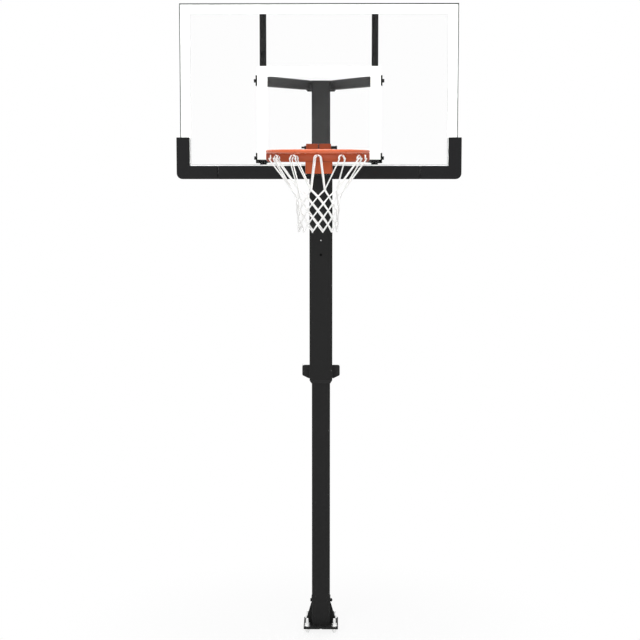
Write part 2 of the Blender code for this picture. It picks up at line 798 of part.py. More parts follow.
def make_strut_rod(mats):
    """The rod with its piston below and its eye on the cross bolt above."""
    low = STRUT_BOLT_Z - ROD_BELOW_BOLT
    piston = STRUT_R - STRUT_WALL - SLIDE_GAP
    bm = bmesh.new()
    profile = [(piston, low), (piston, low + PISTON_H), (ROD_R, low + PISTON_H),
               (ROD_R, STRUT_BOLT_Z - EYE_R + 0.002)]
    turn_round(bm, profile, "Z", (0, 0, 0), 12, False)
    rod = finish("gas_strut_rod", bm, mats["steel"])
    bm = bmesh.new()
    prism(bm, circle(EYE_R, 16), "Y", -EYE_LENGTH / 2, EYE_LENGTH / 2, (0, 0, STRUT_BOLT_Z))
    combine(rod, bm, "UNION")
    cut_holes(rod, [("Y", (0, 0, STRUT_BOLT_Z), STRUT_BOLT_R + HOLE_PLAY, -EYE_LENGTH, EYE_LENGTH)])
    return rod


# Arms

def arm_direction():
    """Unit vectors along an arm's slanted part, towards the board, and across it."""
    along = Vector((-(ARM_X - ARM_ROOT_X), ARM_BEND - ARM_ROOT_Y, 0.0))
    length = along.length
    along.normalize()
    across = Vector((-along.y, along.x, 0.0))
    return along, across, length


def arm_frames():
    """Path stations of the left arm: centre, direction across, width factor, rise."""
    along, across, length = arm_direction()
    straight = Vector((1.0, 0.0, 0.0))
    middle = (across + straight).normalized()
    factor = 1.0 / middle.dot(straight)
    total = length + ARM_STRAIGHT
    return [
        (Vector((-ARM_X, ARM_FRONT, 0)), straight, 1.0, 0.0),
        (Vector((-ARM_X, ARM_BEND, 0)), middle, factor, ARM_RISE * ARM_STRAIGHT / total),
        (Vector((-ARM_ROOT_X, ARM_ROOT_Y, 0)), across, 1.0, ARM_RISE),
    ]


def make_arm(mats, name, side, level):
    """A bent square tube from the board bracket to the pole."""
    bm = bmesh.new()
    inner_half = ARM_HALF - ARM_WALL
    sections = (round_rect(ARM_HALF, ARM_HALF, ARM_CORNER, 2),
                round_rect(inner_half, inner_half, ARM_CORNER - ARM_WALL, 2))
    loops = []
    for section in sections:
        rings = []
        for centre, across, factor, rise in arm_frames():
            ring = []
            for u, v in section:
                place = centre + across * (u * factor)
                ring.append(bm.verts.new((-side * place.x, place.y, ARM_Z[level] + rise + v)))
            rings.append(ring)
        loops.append(rings)
    outer, inner = loops
    for a, b in zip(outer, outer[1:]):
        bridge(bm, a, b)
    for a, b in zip(inner, inner[1:]):
        bridge(bm, b, a)
    bridge(bm, inner[0], outer[0])
    bridge(bm, outer[-1], inner[-1])
    arm = finish(name, bm, mats["black_powder_coat"])
    cut_holes(arm, [("X", (side * ARM_X, ARM_BOLT_Y, arm_bolt_z(level)), BOLT_R + HOLE_PLAY,
                     -ARM_SIZE, ARM_SIZE)])
    combine(arm, root_hole(side, level), "DIFFERENCE")
    return arm


def arm_bolt_z(level):
    return ARM_Z[level] + ARM_RISE * ARM_BOLT_IN / (ARM_STRAIGHT + arm_direction()[2])


def root_bolt_frame(side, level):
    """Where the bolt through an arm's root lies: its middle, with +X turned across to the pole."""
    along, across, length = arm_direction()
    place = Vector((-ARM_ROOT_X, ARM_ROOT_Y, 0)) + along * ROOT_BOLT_IN
    z = ARM_Z[level] + ARM_RISE * (1.0 - ROOT_BOLT_IN / (length + ARM_STRAIGHT))
    turn = math.atan2(across.y, -side * across.x)
    return Matrix.Translation((-side * place.x, place.y, z)) @ Matrix.Rotation(turn, 4, "Z")


def root_hole(side, level):
    bm = bmesh.new()
    prism(bm, circle(BOLT_R + HOLE_PLAY), "X", -ARM_SIZE, ARM_SIZE)
    bm.transform(root_bolt_frame(side, level))
    return bm


def hanger_outline():
    """Plan of a plate that is welded to the pole and reaches into the left arm."""
    along, across, _ = arm_direction()
    root = Vector((-ARM_ROOT_X, ARM_ROOT_Y, 0))
    half = ARM_HALF - ARM_WALL - HANGER_SIDE_PLAY
    pole_side = -(POLE_HALF - POLE_WALL / 2)
    behind = root - along * 0.001
    to_pole = (pole_side - behind.x) / across.x
    return [root + along * HANGER_REACH - across * half, root + along * HANGER_REACH + across * half,
            behind + across * half, behind + across * to_pole,
            Vector((pole_side, ARM_ROOT_Y + HANGER_BACK, 0)),
            Vector((pole_side - 0.030, ARM_ROOT_Y + HANGER_BACK, 0)), root - along * 0.028 - across * half]


def arm_slope():
    return ARM_RISE / (arm_direction()[2] + ARM_STRAIGHT)


def sloped_prism(bm, outline, side, low, high):
    """A prism whose left-hand plan is given, tilted with the arm's slope."""
    along = arm_direction()[0]
    first = len(bm.verts)
    prism(bm, [(-side * p.x, p.y) for p in outline], "Z", low, high)
    bm.verts.ensure_lookup_table()
    for vert in bm.verts[first:]:
        ahead = Vector((-side * vert.co.x + ARM_ROOT_X, vert.co.y - ARM_ROOT_Y, 0)).dot(along)
        vert.co.z -= arm_slope() * ahead


def hanger_plates():
    """The top and bottom plates of the stub inside each arm's root."""
    inside = ARM_HALF - ARM_WALL - GAP
    bm = bmesh.new()
    for _, side in mirror_sides():
        for level in ARM_Z:
            centre = ARM_Z[level] + ARM_RISE
            sloped_prism(bm, hanger_outline(), side, centre + HANGER_TOP - HANGER_T, centre + HANGER_TOP)
            sloped_prism(bm, hanger_outline(), side, centre - inside, centre - inside + HANGER_T)
    return bm


def hanger_walls():
    """The side walls of those stubs, which the root bolts go through."""
    along, across, _ = arm_direction()
    root = Vector((-ARM_ROOT_X, ARM_ROOT_Y, 0))
    half = ARM_HALF - ARM_WALL - HANGER_SIDE_PLAY
    bottom = ARM_HALF - ARM_WALL - GAP - HANGER_T / 2
    top = HANGER_TOP - HANGER_T / 2
    front = root + along * (HANGER_REACH - 0.001)
    back = root + along * 0.001
    bm = bmesh.new()
    for _, side in mirror_sides():
        for level in ARM_Z:
            centre = ARM_Z[level] + ARM_RISE
            for near, far in ((half - HANGER_WALL, half - 0.0002), (0.0002 - half, HANGER_WALL - half)):
                outline = [front + across * near, front + across * far, back + across * far,
                           back + across * near]
                sloped_prism(bm, outline, side, centre - bottom, centre + top)
    return bm


def arm_lugs():
    """Small lugs on the pole's sides, under the arms' inner corners."""
    bm = bmesh.new()
    inner = POLE_HALF - POLE_WALL / 2
    outer = POLE_HALF + LUG_REACH
    for _, side in mirror_sides():
        for level in ARM_Z:
            high = ARM_Z[level] + ARM_RISE - ARM_HALF - arm_slope() * LUG_LENGTH - GAP
            low = high - LUG_DROP
            outline = [(high, side * inner), (high, side * outer), (low, side * (outer - LUG_SLANT)),
                       (low, side * inner)]
            prism(bm, outline, "Y", ARM_ROOT_Y - LUG_LENGTH, ARM_ROOT_Y)
    return bm


def add_arm_brackets(rail, side):
    """Two U brackets welded to the back of a frame upright, with their bolt holes."""
    half = ARM_HALF + BRACKET_PLAY + BRACKET_WALL
    inner = half - BRACKET_WALL
    root = FRAME_BACK - RAIL_WALL / 2
    floor = FRAME_BACK + BRACKET_WALL
    back = FRAME_BACK + BRACKET_DEPTH
    outline = [(-half, root), (half, root), (half, back), (inner, back), (inner, floor), (-inner, floor),
               (-inner, back), (-half, back)]
    bm = bmesh.new()
    for level in ARM_Z:
        prism(bm, outline, "Z", -ARM_HALF, ARM_HALF, (side * ARM_X, 0, arm_bolt_z(level)))
    combine(rail, bm, "UNION")
    cut_holes(rail, [("X", (side * ARM_X, ARM_BOLT_Y, arm_bolt_z(level)), BOLT_R + HOLE_PLAY,
                      -ARM_SIZE, ARM_SIZE) for level in ARM_Z])


def make_arm_bolts(mats):
    """Cross bolts at both ends of each arm, with their nuts."""
    coat = mats["black_powder_coat"]
    wall = ARM_HALF + BRACKET_PLAY + BRACKET_WALL + GAP
    seat = ARM_HALF + GAP
    bolts = []
    for level in ARM_Z:
        for word, side in mirror_sides():
            end = "_bolt_" + level + "_" + word
            centre = (side * ARM_X, ARM_BOLT_Y, arm_bolt_z(level))
            bolts.append(make_bolt("bracket" + end, coat, "X", centre, side * wall,
                                   -side * (wall + BOLT_NUT + BOLT_TIP), (BOLT_R, BOLT_AF, ARM_HEAD),
                                   (-side * wall, BOLT_NUT)))
            bolt = make_bolt("arm_root" + end, coat, "X", (0, 0, 0), -seat, seat + BOLT_NUT + BOLT_TIP,
                             (BOLT_R, BOLT_AF, BOLT_HEAD), (seat, BOLT_NUT))
            bolt.data.transform(root_bolt_frame(side, level))
            bolts.append(bolt)
    return bolts


# Board frame

def add_rail(bm, axis, centre, half_u, half_v, low, high):
    """An open-ended rectangular tube."""
    outer = round_rect(half_u, half_v, 0.002, 1)
    inner = round_rect(half_u - RAIL_WALL, half_v - RAIL_WALL, 0.001, 1)
    ring_prism(bm, outer, inner, axis, low, high, centre)


def plate_bolt_places():
    return [(x, BOARD_BOTTOM + up) for x in (-PLATE_BOLT_X, PLATE_BOLT_X)
            for up in (PLATE_BOLT_LOW, PLATE_BOLT_HIGH)]


def add_weld_nuts(obj, places, front, back):
    """Nuts welded behind a plate or rail, with their holes right through."""
    for x, z in places:
        bm = bmesh.new()
        prism(bm, hexagon(WELD_NUT_AF), "Y", back - RAIL_WALL / 2, back + WELD_NUT_H, (x, 0, z))
        combine(obj, bm, "UNION")
    cut_holes(obj, [("Y", (x, 0, z), PLATE_BOLT_R + HOLE_PLAY, front - 0.01, back + 0.02) for x, z in places])


def make_frame(mats):
    coat = mats["black_powder_coat"]
    middle_y = FRAME_FRONT + RAIL_DEPTH / 2
    half_x = BOARD_WIDTH / 2 - RAIL_INSET
    parts = []
    for name, z in (("frame_top_rail", RAIL_HIGH - RAIL_W / 2), ("frame_bottom_rail", RAIL_LOW + RAIL_W / 2)):
        bm = bmesh.new()
        add_rail(bm, "X", (0, middle_y, z), RAIL_DEPTH / 2, RAIL_W / 2, -half_x, half_x)
        parts.append(finish(name, bm, coat))
    add_weld_nuts(parts[1], [place for place in plate_bolt_places() if place[1] < RAIL_LOW + RAIL_W],
                  FRAME_FRONT, FRAME_BACK)
    low = RAIL_LOW + RAIL_W + GAP
    high = RAIL_HIGH - RAIL_W - GAP
    for word, side in mirror_sides():
        bm = bmesh.new()
        add_rail(bm, "Z", (side * (half_x - RAIL_W / 2), middle_y, 0), RAIL_W / 2, RAIL_DEPTH / 2, low, high)
        parts.append(finish("frame_side_rail_" + word, bm, coat))
        bm = bmesh.new()
        add_rail(bm, "Z", (side * CHANNEL_X, middle_y, 0), CHANNEL_W / 2, RAIL_DEPTH / 2, low, high)
        channel = finish("frame_channel_" + word, bm, coat)
        add_arm_brackets(channel, side)
        parts.append(channel)
    return parts


def make_glass(mats):
    bm = bmesh.new()
    half = BOARD_WIDTH / 2
    box(bm, (-half, half), (GLASS_FRONT, GLASS_BACK), (BOARD_BOTTOM, BOARD_TOP))
    glass = finish("glass_panel", bm, mats["glass"], smooth=False)
    cut_holes(glass, [("Y", (x, 0, z), PLATE_BOLT_R + 4 * HOLE_PLAY, GLASS_FRONT - 0.01, GLASS_BACK + 0.01)
                      for x, z in plate_bolt_places()])
    return glass


def split_frame_outline(half, low, high, band):
    """A band round a rectangle, open at its foot behind the rim plate, as (z, x)."""
    return [(low, -PRINT_SPLIT), (low, -half), (high, -half), (high, half), (low, half),
            (low, PRINT_SPLIT), (low + band, PRINT_SPLIT), (low + band, half - band),
            (high - band, half - band), (high - band, band - half), (low + band, band - half),
            (low + band, -PRINT_SPLIT)]


def make_prints(mats):
    """White ceramic print on the back of the glass: the border and the target."""
    prints = []
    target_low = RIM_TOP - TARGET_DROP
    sizes = (("border_print", BOARD_WIDTH / 2 - 0.0015, BOARD_BOTTOM + 0.0015, BOARD_TOP - 0.0015,
              BORDER_W - 0.0015),
             ("target_print", TARGET_WIDTH / 2, target_low, target_low + TARGET_HEIGHT, TARGET_STRIPE))
    for name, half, low, high, band in sizes:
        bm = bmesh.new()
        prism(bm, split_frame_outline(half, low, high, band), "Y", PRINT_FRONT, PRINT_FRONT + PRINT_T)
        prints.append(finish(name, bm, mats["white_ceramic_print"], smooth=False))
    return prints


# Pads

def pad_corner_outline(side):
    """Front view of a corner pad as (z, x)."""
    outer = BOARD_WIDTH / 2 + PAD_OUT
    low = BOARD_BOTTOM - PAD_DOWN
    arc = []
    for i in range(7):
        angle = math.radians(15 * i)
        arc.append((low + PAD_CORNER * (1 - math.sin(angle)), outer - PAD_CORNER * (1 - math.cos(angle))))
    seam = PAD_SEAM_X + PAD_SEAM / 2
    band = BOARD_BOTTOM + PAD_BAND_TOP
    points = [(BOARD_BOTTOM + PAD_UP, PAD_INNER_X), (BOARD_BOTTOM + PAD_UP, outer)] + arc
    points += [(low, seam), (band, seam), (band, PAD_INNER_X)]
    return [(z, side * x) for z, x in points]


def pad_slot():
    """The slot that takes the glass and its frame."""
    bm = bmesh.new()
    half = BOARD_WIDTH / 2 + GAP
    box(bm, (-half, half), (GLASS_FRONT - GAP, FRAME_BACK + GAP), (BOARD_BOTTOM - GAP, BOARD_TOP + 0.1))
    return bm


def make_pads(mats):
    front = GLASS_FRONT - GAP - PAD_LIP
    back = FRAME_BACK + GAP + PAD_BACK
    pads = []
    for word, side in mirror_sides():
        bm = bmesh.new()
        prism(bm, pad_corner_outline(side), "Y", front, back)
        pads.append(finish("pad_corner_" + word, bm, mats["pad_polymer"]))
    bm = bmesh.new()
    reach = PAD_SEAM_X - PAD_SEAM / 2
    box(bm, (-reach, reach), (front, back), (BOARD_BOTTOM - PAD_DOWN, BOARD_BOTTOM + PAD_BAND_TOP))
    pads.append(finish("pad_center", bm, mats["pad_polymer"]))
    for pad in pads:
        combine(pad, pad_slot(), "DIFFERENCE")
    bm = bmesh.new()
    clear = PLATE_W / 2 + 0.001
    box(bm, (-clear, clear), (front - 0.01, GLASS_FRONT), (RIM_TOP - 0.2, RIM_TOP))
    combine(pads[2], bm, "DIFFERENCE")
    bm = bmesh.new()
    nut_room = PLATE_BOLT_X + 0.016
    box(bm, (-nut_room, nut_room), (FRAME_BACK, back + 0.01),
        (BOARD_BOTTOM + PLATE_BOLT_LOW - 0.014, BOARD_BOTTOM + PAD_BAND_TOP + 0.01))
    combine(pads[2], bm, "DIFFERENCE")
    return pads


# Rim plate and hinge

def make_rim_plate(mats):
    """The plate with its hinge lugs and the studs that go through the glass."""
    bm = bmesh.new()
    half = PLATE_W / 2
    low = BOARD_BOTTOM + PLATE_LOW
    box(bm, (-half, half), (RIM_PLATE_FRONT, RIM_PLATE_BACK), (low, BOARD_BOTTOM + PLATE_UP))
    plate = finish("rim_mount_plate", bm, mats["orange_powder_coat"])
    for _, side in mirror_sides():
        xs = sorted((side * LUG_X, side * (LUG_X + LUG_T)))
        arc = [(HINGE_Y - LUG_R * math.cos(a), HINGE_Z - LUG_R * math.sin(a))
               for a in [math.radians(-90 + 22.5 * i) for i in range(9)]]
        outline = [(RIM_PLATE_FRONT + PLATE_T / 2, HINGE_Z + LUG_R)] + arc
        outline.append((RIM_PLATE_FRONT + PLATE_T / 2, HINGE_Z - LUG_R))
        bm = bmesh.new()
        prism(bm, outline, "X", xs[0], xs[1])
        combine(plate, bm, "UNION")
    for x, z in plate_bolt_places():
        back = FRAME_BACK if z < RAIL_LOW + RAIL_W else PRINT_FRONT + BACKING_T
        bm = bmesh.new()
        prism(bm, circle(PLATE_BOLT_R), "Y", RIM_PLATE_FRONT + PLATE_T / 2, back + WELD_NUT_H + STUD_TIP,
              (x, 0, z))
        combine(plate, bm, "UNION")
    cut_holes(plate, [("X", (0, HINGE_Y, HINGE_Z), BOLT_R + HOLE_PLAY, -PLATE_W, PLATE_W)])
    return plate


def make_backing_plate(mats):
    """The plate behind the glass that takes the upper studs."""
    bm = bmesh.new()
    low = RAIL_LOW + RAIL_W + GAP
    front = PRINT_FRONT
    clear = PRINT_SPLIT - GAP
    outline = [(low, -clear), (BOARD_BOTTOM + PLATE_UP, -clear), (BOARD_BOTTOM + PLATE_UP, clear),
               (low, clear)]
    prism(bm, outline, "Y", front, front + BACKING_T)
    plate = finish("rim_backing_plate", bm, mats["black_powder_coat"])
    add_weld_nuts(plate, [place for place in plate_bolt_places() if place[1] > low], front,
                  front + BACKING_T)
    return plate


def make_hinge_bolt(mats):
    """The long bolt through the rim bracket and the plate's lugs, with its spacer and nut."""
    side = HOUSING_OUT + GAP
    head = HINGE_BOLT_LEFT - HINGE_HEAD
    hexa = hexagon(BOLT_AF)
    bm = bmesh.new()
    spacer = circle(HINGE_SPACER_R)
    shaft = circle(BOLT_R)
    levels = [(hexa, -HINGE_BOLT_LEFT), (hexa, -head), (spacer, -head), (spacer, -side), (shaft, -side),
              (shaft, side), (hexa, side), (hexa, side + HINGE_NUT_W), (shaft, side + HINGE_NUT_W),
              (shaft, HINGE_BOLT_RIGHT)]
    loft(bm, "X", (0, HINGE_Y, HINGE_Z), levels)
    return finish("hinge_bolt", bm, mats["black_powder_coat"])


# Rim

def make_ring(mats):
    """The round bar, with the net hooks welded inside it."""
    bm = bmesh.new()
    rings = []
    steps = 48
    for i in range(steps):
        angle = 2 * math.pi * i / steps
        ring = []
        for u, v in circle(RING_TUBE_R, 8):
            reach = RING_R + u
            ring.append(bm.verts.new((reach * math.cos(angle), RING_Y + reach * math.sin(angle), RING_Z + v)))
        rings.append(ring)
    for i in range(steps):
        bridge(bm, rings[i], rings[(i + 1) % steps])
    ring = finish("rim_ring", bm, mats["orange_powder_coat"])
    combine(ring, net_hooks(), "UNION")
    return ring


def brace_low(degrees):
    """Height of the brace's lower edge; its ends rise."""
    edge = min(degrees + BRACE_OVERHANG, 180 + BRACE_OVERHANG - degrees)
    share = max(0.0, 1 - edge / BRACE_END_ARC)
    return RING_Z - BRACE_BOTTOM + BRACE_END_RISE * share


def make_brace(mats):
    """A band under the rear half of the ring."""
    bm = bmesh.new()
    top = RING_Z - RING_TUBE_R - GAP
    rings = []
    for i in range(BRACE_STEPS + 1):
        degrees = -BRACE_OVERHANG + (180 + 2 * BRACE_OVERHANG) * i / BRACE_STEPS
        angle = math.radians(degrees)
        low = brace_low(degrees)
        ring = []
        for reach, z in ((RING_R - BRACE_T / 2, low), (RING_R + BRACE_T / 2, low),
                         (RING_R + BRACE_T / 2, top), (RING_R - BRACE_T / 2, top)):
            ring.append(bm.verts.new((reach * math.cos(angle), RING_Y + reach * math.sin(angle), z)))
        rings.append(ring)
    close_profile(bm, rings, False)
    return finish("rim_brace", bm, mats["orange_powder_coat"])


def make_rim_bracket(mats):
    """Folded sheet housing that joins the ring and brace to the hinge bolt."""
    top = HINGE_Z + HOUSING_TOP_UP
    front = RING_Y + RING_R + RING_TUBE_R
    corner = RING_Y + math.sqrt((RING_R + RING_TUBE_R + GAP) ** 2 - HOUSING_IN ** 2)
    low = HINGE_Z - TONGUE_DOWN
    back = HINGE_Y + HOUSING_BACK
    flange_y = (HINGE_Y - FLANGE_IN - SHEET_T, HINGE_Y - FLANGE_IN)
    bm = bmesh.new()
    box(bm, (-HOUSING_OUT, HOUSING_OUT), flange_y, (HINGE_Z - FLANGE_BOTTOM_DOWN, HINGE_Z - FLANGE_TOP_DOWN))
    bracket = finish("rim_bracket", bm, mats["orange_powder_coat"])
    for _, side in mirror_sides():
        bm = bmesh.new()
        xs = sorted((side * HOUSING_IN, side * HOUSING_OUT))
        outline = [(corner, low), (HINGE_Y + HOUSING_LOW_BACK, low), (back, HINGE_Z - HOUSING_BACK_DOWN),
                   (back, top), (corner, top)]
        prism(bm, outline, "X", xs[0], xs[1])
        combine(bracket, bm, "UNION")
        bm = bmesh.new()
        slit = sorted((side * HOUSING_SLIT / 2, side * HOUSING_OUT))
        box(bm, slit, (front, HINGE_Y + HOUSING_TOP_BACK), (top - SHEET_T, top))
        combine(bracket, bm, "UNION")
        bm = bmesh.new()
        box(bm, slit, (front - SHEET_T, front), (RIM_TOP + GAP, top))
        combine(bracket, bm, "UNION")
    bm = bmesh.new()
    reach = RING_R + BRACE_T / 2 + GAP
    arc = []
    for i in range(9):
        x = -HOUSING_OUT + 2 * HOUSING_OUT * i / 8
        arc.append((x, RING_Y + math.sqrt(reach ** 2 - x ** 2)))
    outline = arc + [(HOUSING_OUT, flange_y[1]), (-HOUSING_OUT, flange_y[1])]
    prism(bm, outline, "Z", low, low + SHEET_T)
    combine(bracket, bm, "UNION")
    cut_holes(bracket, [("X", (0, HINGE_Y, HINGE_Z), BOLT_R + HOLE_PLAY, -PLATE_W, PLATE_W)])
    spring_z = HINGE_Z - SPRING_DOWN
    half = SPRING_BOLT_R + 3 * HOLE_PLAY
    for _, side in mirror_sides():
        bm = bmesh.new()
        box(bm, (side * SPRING_X - half, side * SPRING_X + half), (flange_y[0] - 0.005, flange_y[1] + 0.005),
            (spring_z - SPRING_SLOT_DOWN, spring_z + SPRING_SLOT_UP))
        combine(bracket, bm, "DIFFERENCE")
    return bracket


def make_spring_bolts(mats):
    """Two bolts on the rim plate whose heads stop the bracket at rest."""
    z = HINGE_Z - SPRING_DOWN
    seat = HINGE_Y - FLANGE_IN - SHEET_T - GAP
    profile = [(SPRING_HEAD_R, seat - SPRING_HEAD_H), (SPRING_HEAD_R, seat), (SPRING_BOLT_R, seat),
               (SPRING_BOLT_R, RIM_PLATE_FRONT - GAP)]
    bolts = []
    for word, side in mirror_sides():
        bm = bmesh.new()
        turn_round(bm, profile, "Y", (side * SPRING_X, 0, z), 12, False)
        bolts.append(finish("rim_spring_bolt_" + word, bm, mats["zinc"]))
    return bolts


def make_rim_springs(mats):
    """Two coil springs round the bolts, between the plate and the bracket's flange."""
    z = HINGE_Z - SPRING_DOWN
    low = HINGE_Y - FLANGE_IN + GAP + SPRING_WIRE_R
    high = RIM_PLATE_FRONT - GAP - SPRING_WIRE_R
    count = SPRING_TURNS * SPRING_POINTS
    springs = []
    for word, side in mirror_sides():
        points = []
        for i in range(count + 1):
            angle = 2 * math.pi * i / SPRING_POINTS
            points.append((side * SPRING_X + SPRING_R * math.cos(angle), low + (high - low) * i / count,
                           z + SPRING_R * math.sin(angle)))
        name = "rim_spring_" + word
        springs.append(add_curve(name, points, SPRING_WIRE_R, mats["steel"]))
        print(name + ": least gap to itself %.2f mm" % (1000 * least_gap(points, SPRING_WIRE_R, 5)))
    return springs


def least_gap(points, radius, apart):
    """Least space between stretches of one cord that lie some points apart."""
    places = [Vector(p) for p in points]
    least = 1.0
    for i, first in enumerate(places):
        for second in places[i + apart:]:
            least = min(least, (first - second).length)
    return least - 2 * radius


# Net

def hook_radius():
    """How far from the ring's centre a net loop hangs."""
    return RING_R - HOOK_OUTER - HOOK_WIDTH / 2


def net_hooks():
    """Wire J hooks that start in the ring and are open towards its centre."""
    outer = RING_R - HOOK_OUTER
    inner = outer - HOOK_WIDTH
    low = RING_Z - HOOK_DROP
    rise = HOOK_WIDTH / 2
    profile = [(outer, RING_Z - HOOK_TOP), (outer, low + rise)]
    for i in range(1, 5):
        angle = math.pi * i / 5
        profile.append(((outer + inner) / 2 + rise * math.cos(angle), low + rise - rise * math.sin(angle)))
    profile += [(inner, low + rise), (inner, low + rise + HOOK_LIP)]
    bm = bmesh.new()
    for k in range(HOOKS):
        angle = 2 * math.pi * k / HOOKS - math.pi / 2
        points = [(r * math.cos(angle), RING_Y + r * math.sin(angle), z) for r, z in profile]
        add_to(bm, add_curve("hook", points, HOOK_WIRE_R, None, 0))
    return bm


def add_to(bm, obj):
    """Move an object's mesh into a bmesh and remove the object."""
    mesh = obj.data
    bm.from_mesh(mesh)
    bpy.data.objects.remove(obj)
    bpy.data.meshes.remove(mesh)


def net_rows():
    """Heights and radii of the rows where neighbouring cords meet."""
    rows = []
    for i in range(NET_ROWS):
        share = i / (NET_ROWS - 1)
        z = RIM_TOP - NET_FIRST_ROW - NET_ROW * i
        rows.append((z, NET_TOP_R + (NET_BOTTOM_R - NET_TOP_R) * share ** 0.8))
    return rows


def net_leg():
    """One leg of a net cord from its loop down, as (angle, radius, height)."""
    half_step = math.pi / HOOKS
    top = RING_Z - HOOK_DROP + HOOK_WIRE_R + CORD_R + NET_TOP_PLAY
    reach = hook_radius()
    leg = [(NET_BEND_SIDE / reach, reach, top - NET_BEND_DROP),
           (NET_SHOULDER_SIDE / reach, reach, top - NET_SHOULDER_DROP)]
    for i, (z, radius) in enumerate(net_rows()):
        if i % 2 == 0:
            angle = half_step - math.asin((CORD_R - KNOT_BITE / 2) / radius)
        else:
            angle = math.asin((CORD_R + KNOT_GAP / 2) / radius)
        leg.append((angle, radius, z))
    return top, leg


def net_cord(k):
    """A cord over hook k that zigzags down on both sides."""
    top, leg = net_leg()
    centre = 2 * math.pi * k / HOOKS - math.pi / 2
    path = [(-a, r, z) for a, r, z in reversed(leg)] + [(0.0, hook_radius(), top)] + leg
    points = [(r * math.cos(centre + a), RING_Y + r * math.sin(centre + a), z) for a, r, z in path]
    return points


def make_net(mats):
    """Twelve cords, knotted to their neighbours at every second row."""
    bm = bmesh.new()
    for k in range(0, HOOKS, 2):
        add_to(bm, add_curve("cord", net_cord(k), CORD_R, None))
    net = finish("net", bm, mats["net_cord"])
    bm = bmesh.new()
    for k in range(1, HOOKS, 2):
        add_to(bm, add_curve("cord", net_cord(k), CORD_R, None))
    combine(net, bm, "UNION")
    print("net: least gap of a cord to itself %.2f mm" % (1000 * least_gap(net_cord(0), CORD_R, 2)))
    return net


# Handle

def peg_z():
    return SLEEVE_BOTTOM + (SHOE_LOW + SHOE_HIGH) / 2


def grip_outline():
    """Front view of the right-hand grip as (z, x)."""
    inner = SLEEVE_HALF + GAP
    outer = SLEEVE_HALF + GRIP_OUT
    top = SLEEVE_BOTTOM + GRIP_TOP
    low = SLEEVE_BOTTOM + GRIP_LOW
    c = GRIP_CORNER
    points = [(top, inner)]
    for i in range(4):
        angle = math.radians(90 - 30 * i)
        points.append((top - c + c * math.sin(angle), outer - c + c * math.cos(angle)))
    for i in range(4):
        angle = math.radians(-30 * i)
        points.append((low + c + c * math.sin(angle), outer - c + c * math.cos(angle)))
    points += [(SLEEVE_BOTTOM + GAP, inner + GRIP_TAPER), (SLEEVE_BOTTOM + GAP, inner)]
    return points


def make_handle(mats):
    """Side grips, a web with pegs behind the sleeve, and a cross bar, in one moulding."""
    front = SLEEVE_HALF + GAP
    low = SLEEVE_BOTTOM + GAP
    bm = bmesh.new()
    reach = SLEEVE_HALF + 0.010
    box(bm, (-reach, reach), (front, front + WEB_T), (low, SLEEVE_BOTTOM + GRIP_TOP - 0.002))
    handle = finish("handle_yoke", bm, mats["black_plastic"])
    for _, side in mirror_sides():
        bm = bmesh.new()
        prism(bm, [(z, side * x) for z, x in grip_outline()], "Y", GRIP_FRONT, GRIP_BACK)
        combine(handle, bm, "UNION")
    bm = bmesh.new()
    half_y = GRIP_BAR_DEPTH / 2
    half_z = (GRIP_BAR_TOP - GRIP_BAR_LOW) / 2
    middle = (0, GRIP_BACK - half_y - 0.001, SLEEVE_BOTTOM + (GRIP_BAR_TOP + GRIP_BAR_LOW) / 2)
    prism(bm, round_rect(half_y, half_z, 0.010, 3), "X", -reach, reach, middle)
    combine(handle, bm, "UNION")
    combine(handle, shoe_window(front - 0.005, front + WEB_T + 0.005), "DIFFERENCE")
    bm = bmesh.new()
    for x in (-PEG_X, PEG_X):
        prism(bm, circle(PEG_R), "Y", SLEEVE_IN + GAP, front + WEB_T / 2, (x, 0, peg_z()))
    combine(handle, bm, "UNION")
    return handle


def lever_pin_place():
    return (0.0, LEVER_PIN_Y, SLEEVE_BOTTOM + LEVER_PIN_UP)


def make_lever_pin(mats):
    bm = bmesh.new()
    prism(bm, circle(LEVER_PIN_R), "X", -SLEEVE_HALF, SLEEVE_HALF, lever_pin_place())
    return finish("lever_pin", bm, mats["zinc"])


def make_release_lever(mats):
    """A squeeze bar under the cross bar, on two arms that turn on the pin."""
    _, pin_y, pin_z = lever_pin_place()
    bar_low = SLEEVE_BOTTOM + LEVER_BAR_LOW
    bar_high = bar_low + LEVER_BAR_T
    bm = bmesh.new()
    prism(bm, circle(LEVER_BARREL_R), "X", -LEVER_X, LEVER_X, (0, pin_y, pin_z))
    lever = finish("release_lever", bm, mats["black_plastic"])
    bm = bmesh.new()
    box(bm, (-LEVER_X, LEVER_X), (LEVER_BAR_FRONT, GRIP_BACK), (bar_low, bar_high))
    combine(lever, bm, "UNION")
    arm = [(pin_y - 0.004, pin_z - 0.003), (LEVER_BAR_FRONT - 0.003, bar_low),
           (LEVER_BAR_FRONT + 0.006, bar_low), (pin_y + 0.005, pin_z + 0.003)]
    for _, side in mirror_sides():
        xs = sorted((side * LEVER_X, side * (LEVER_X - LEVER_ARM_W)))
        bm = bmesh.new()
        prism(bm, arm, "X", xs[0], xs[1])
        combine(lever, bm, "UNION")
    bm = bmesh.new()
    tab_low = SLEEVE_BOTTOM + LEVER_TAB_END
    box(bm, (-LEVER_TAB_HALF, LEVER_TAB_HALF), (pin_y - LEVER_TAB_T / 2, pin_y + LEVER_TAB_T / 2),
        (tab_low, pin_z - LEVER_BARREL_R / 2))
    combine(lever, bm, "UNION")
    cut_holes(lever, [("X", (0, pin_y, pin_z), LEVER_PIN_R + HOLE_PLAY, -SLEEVE_SIZE, SLEEVE_SIZE)])
    return lever


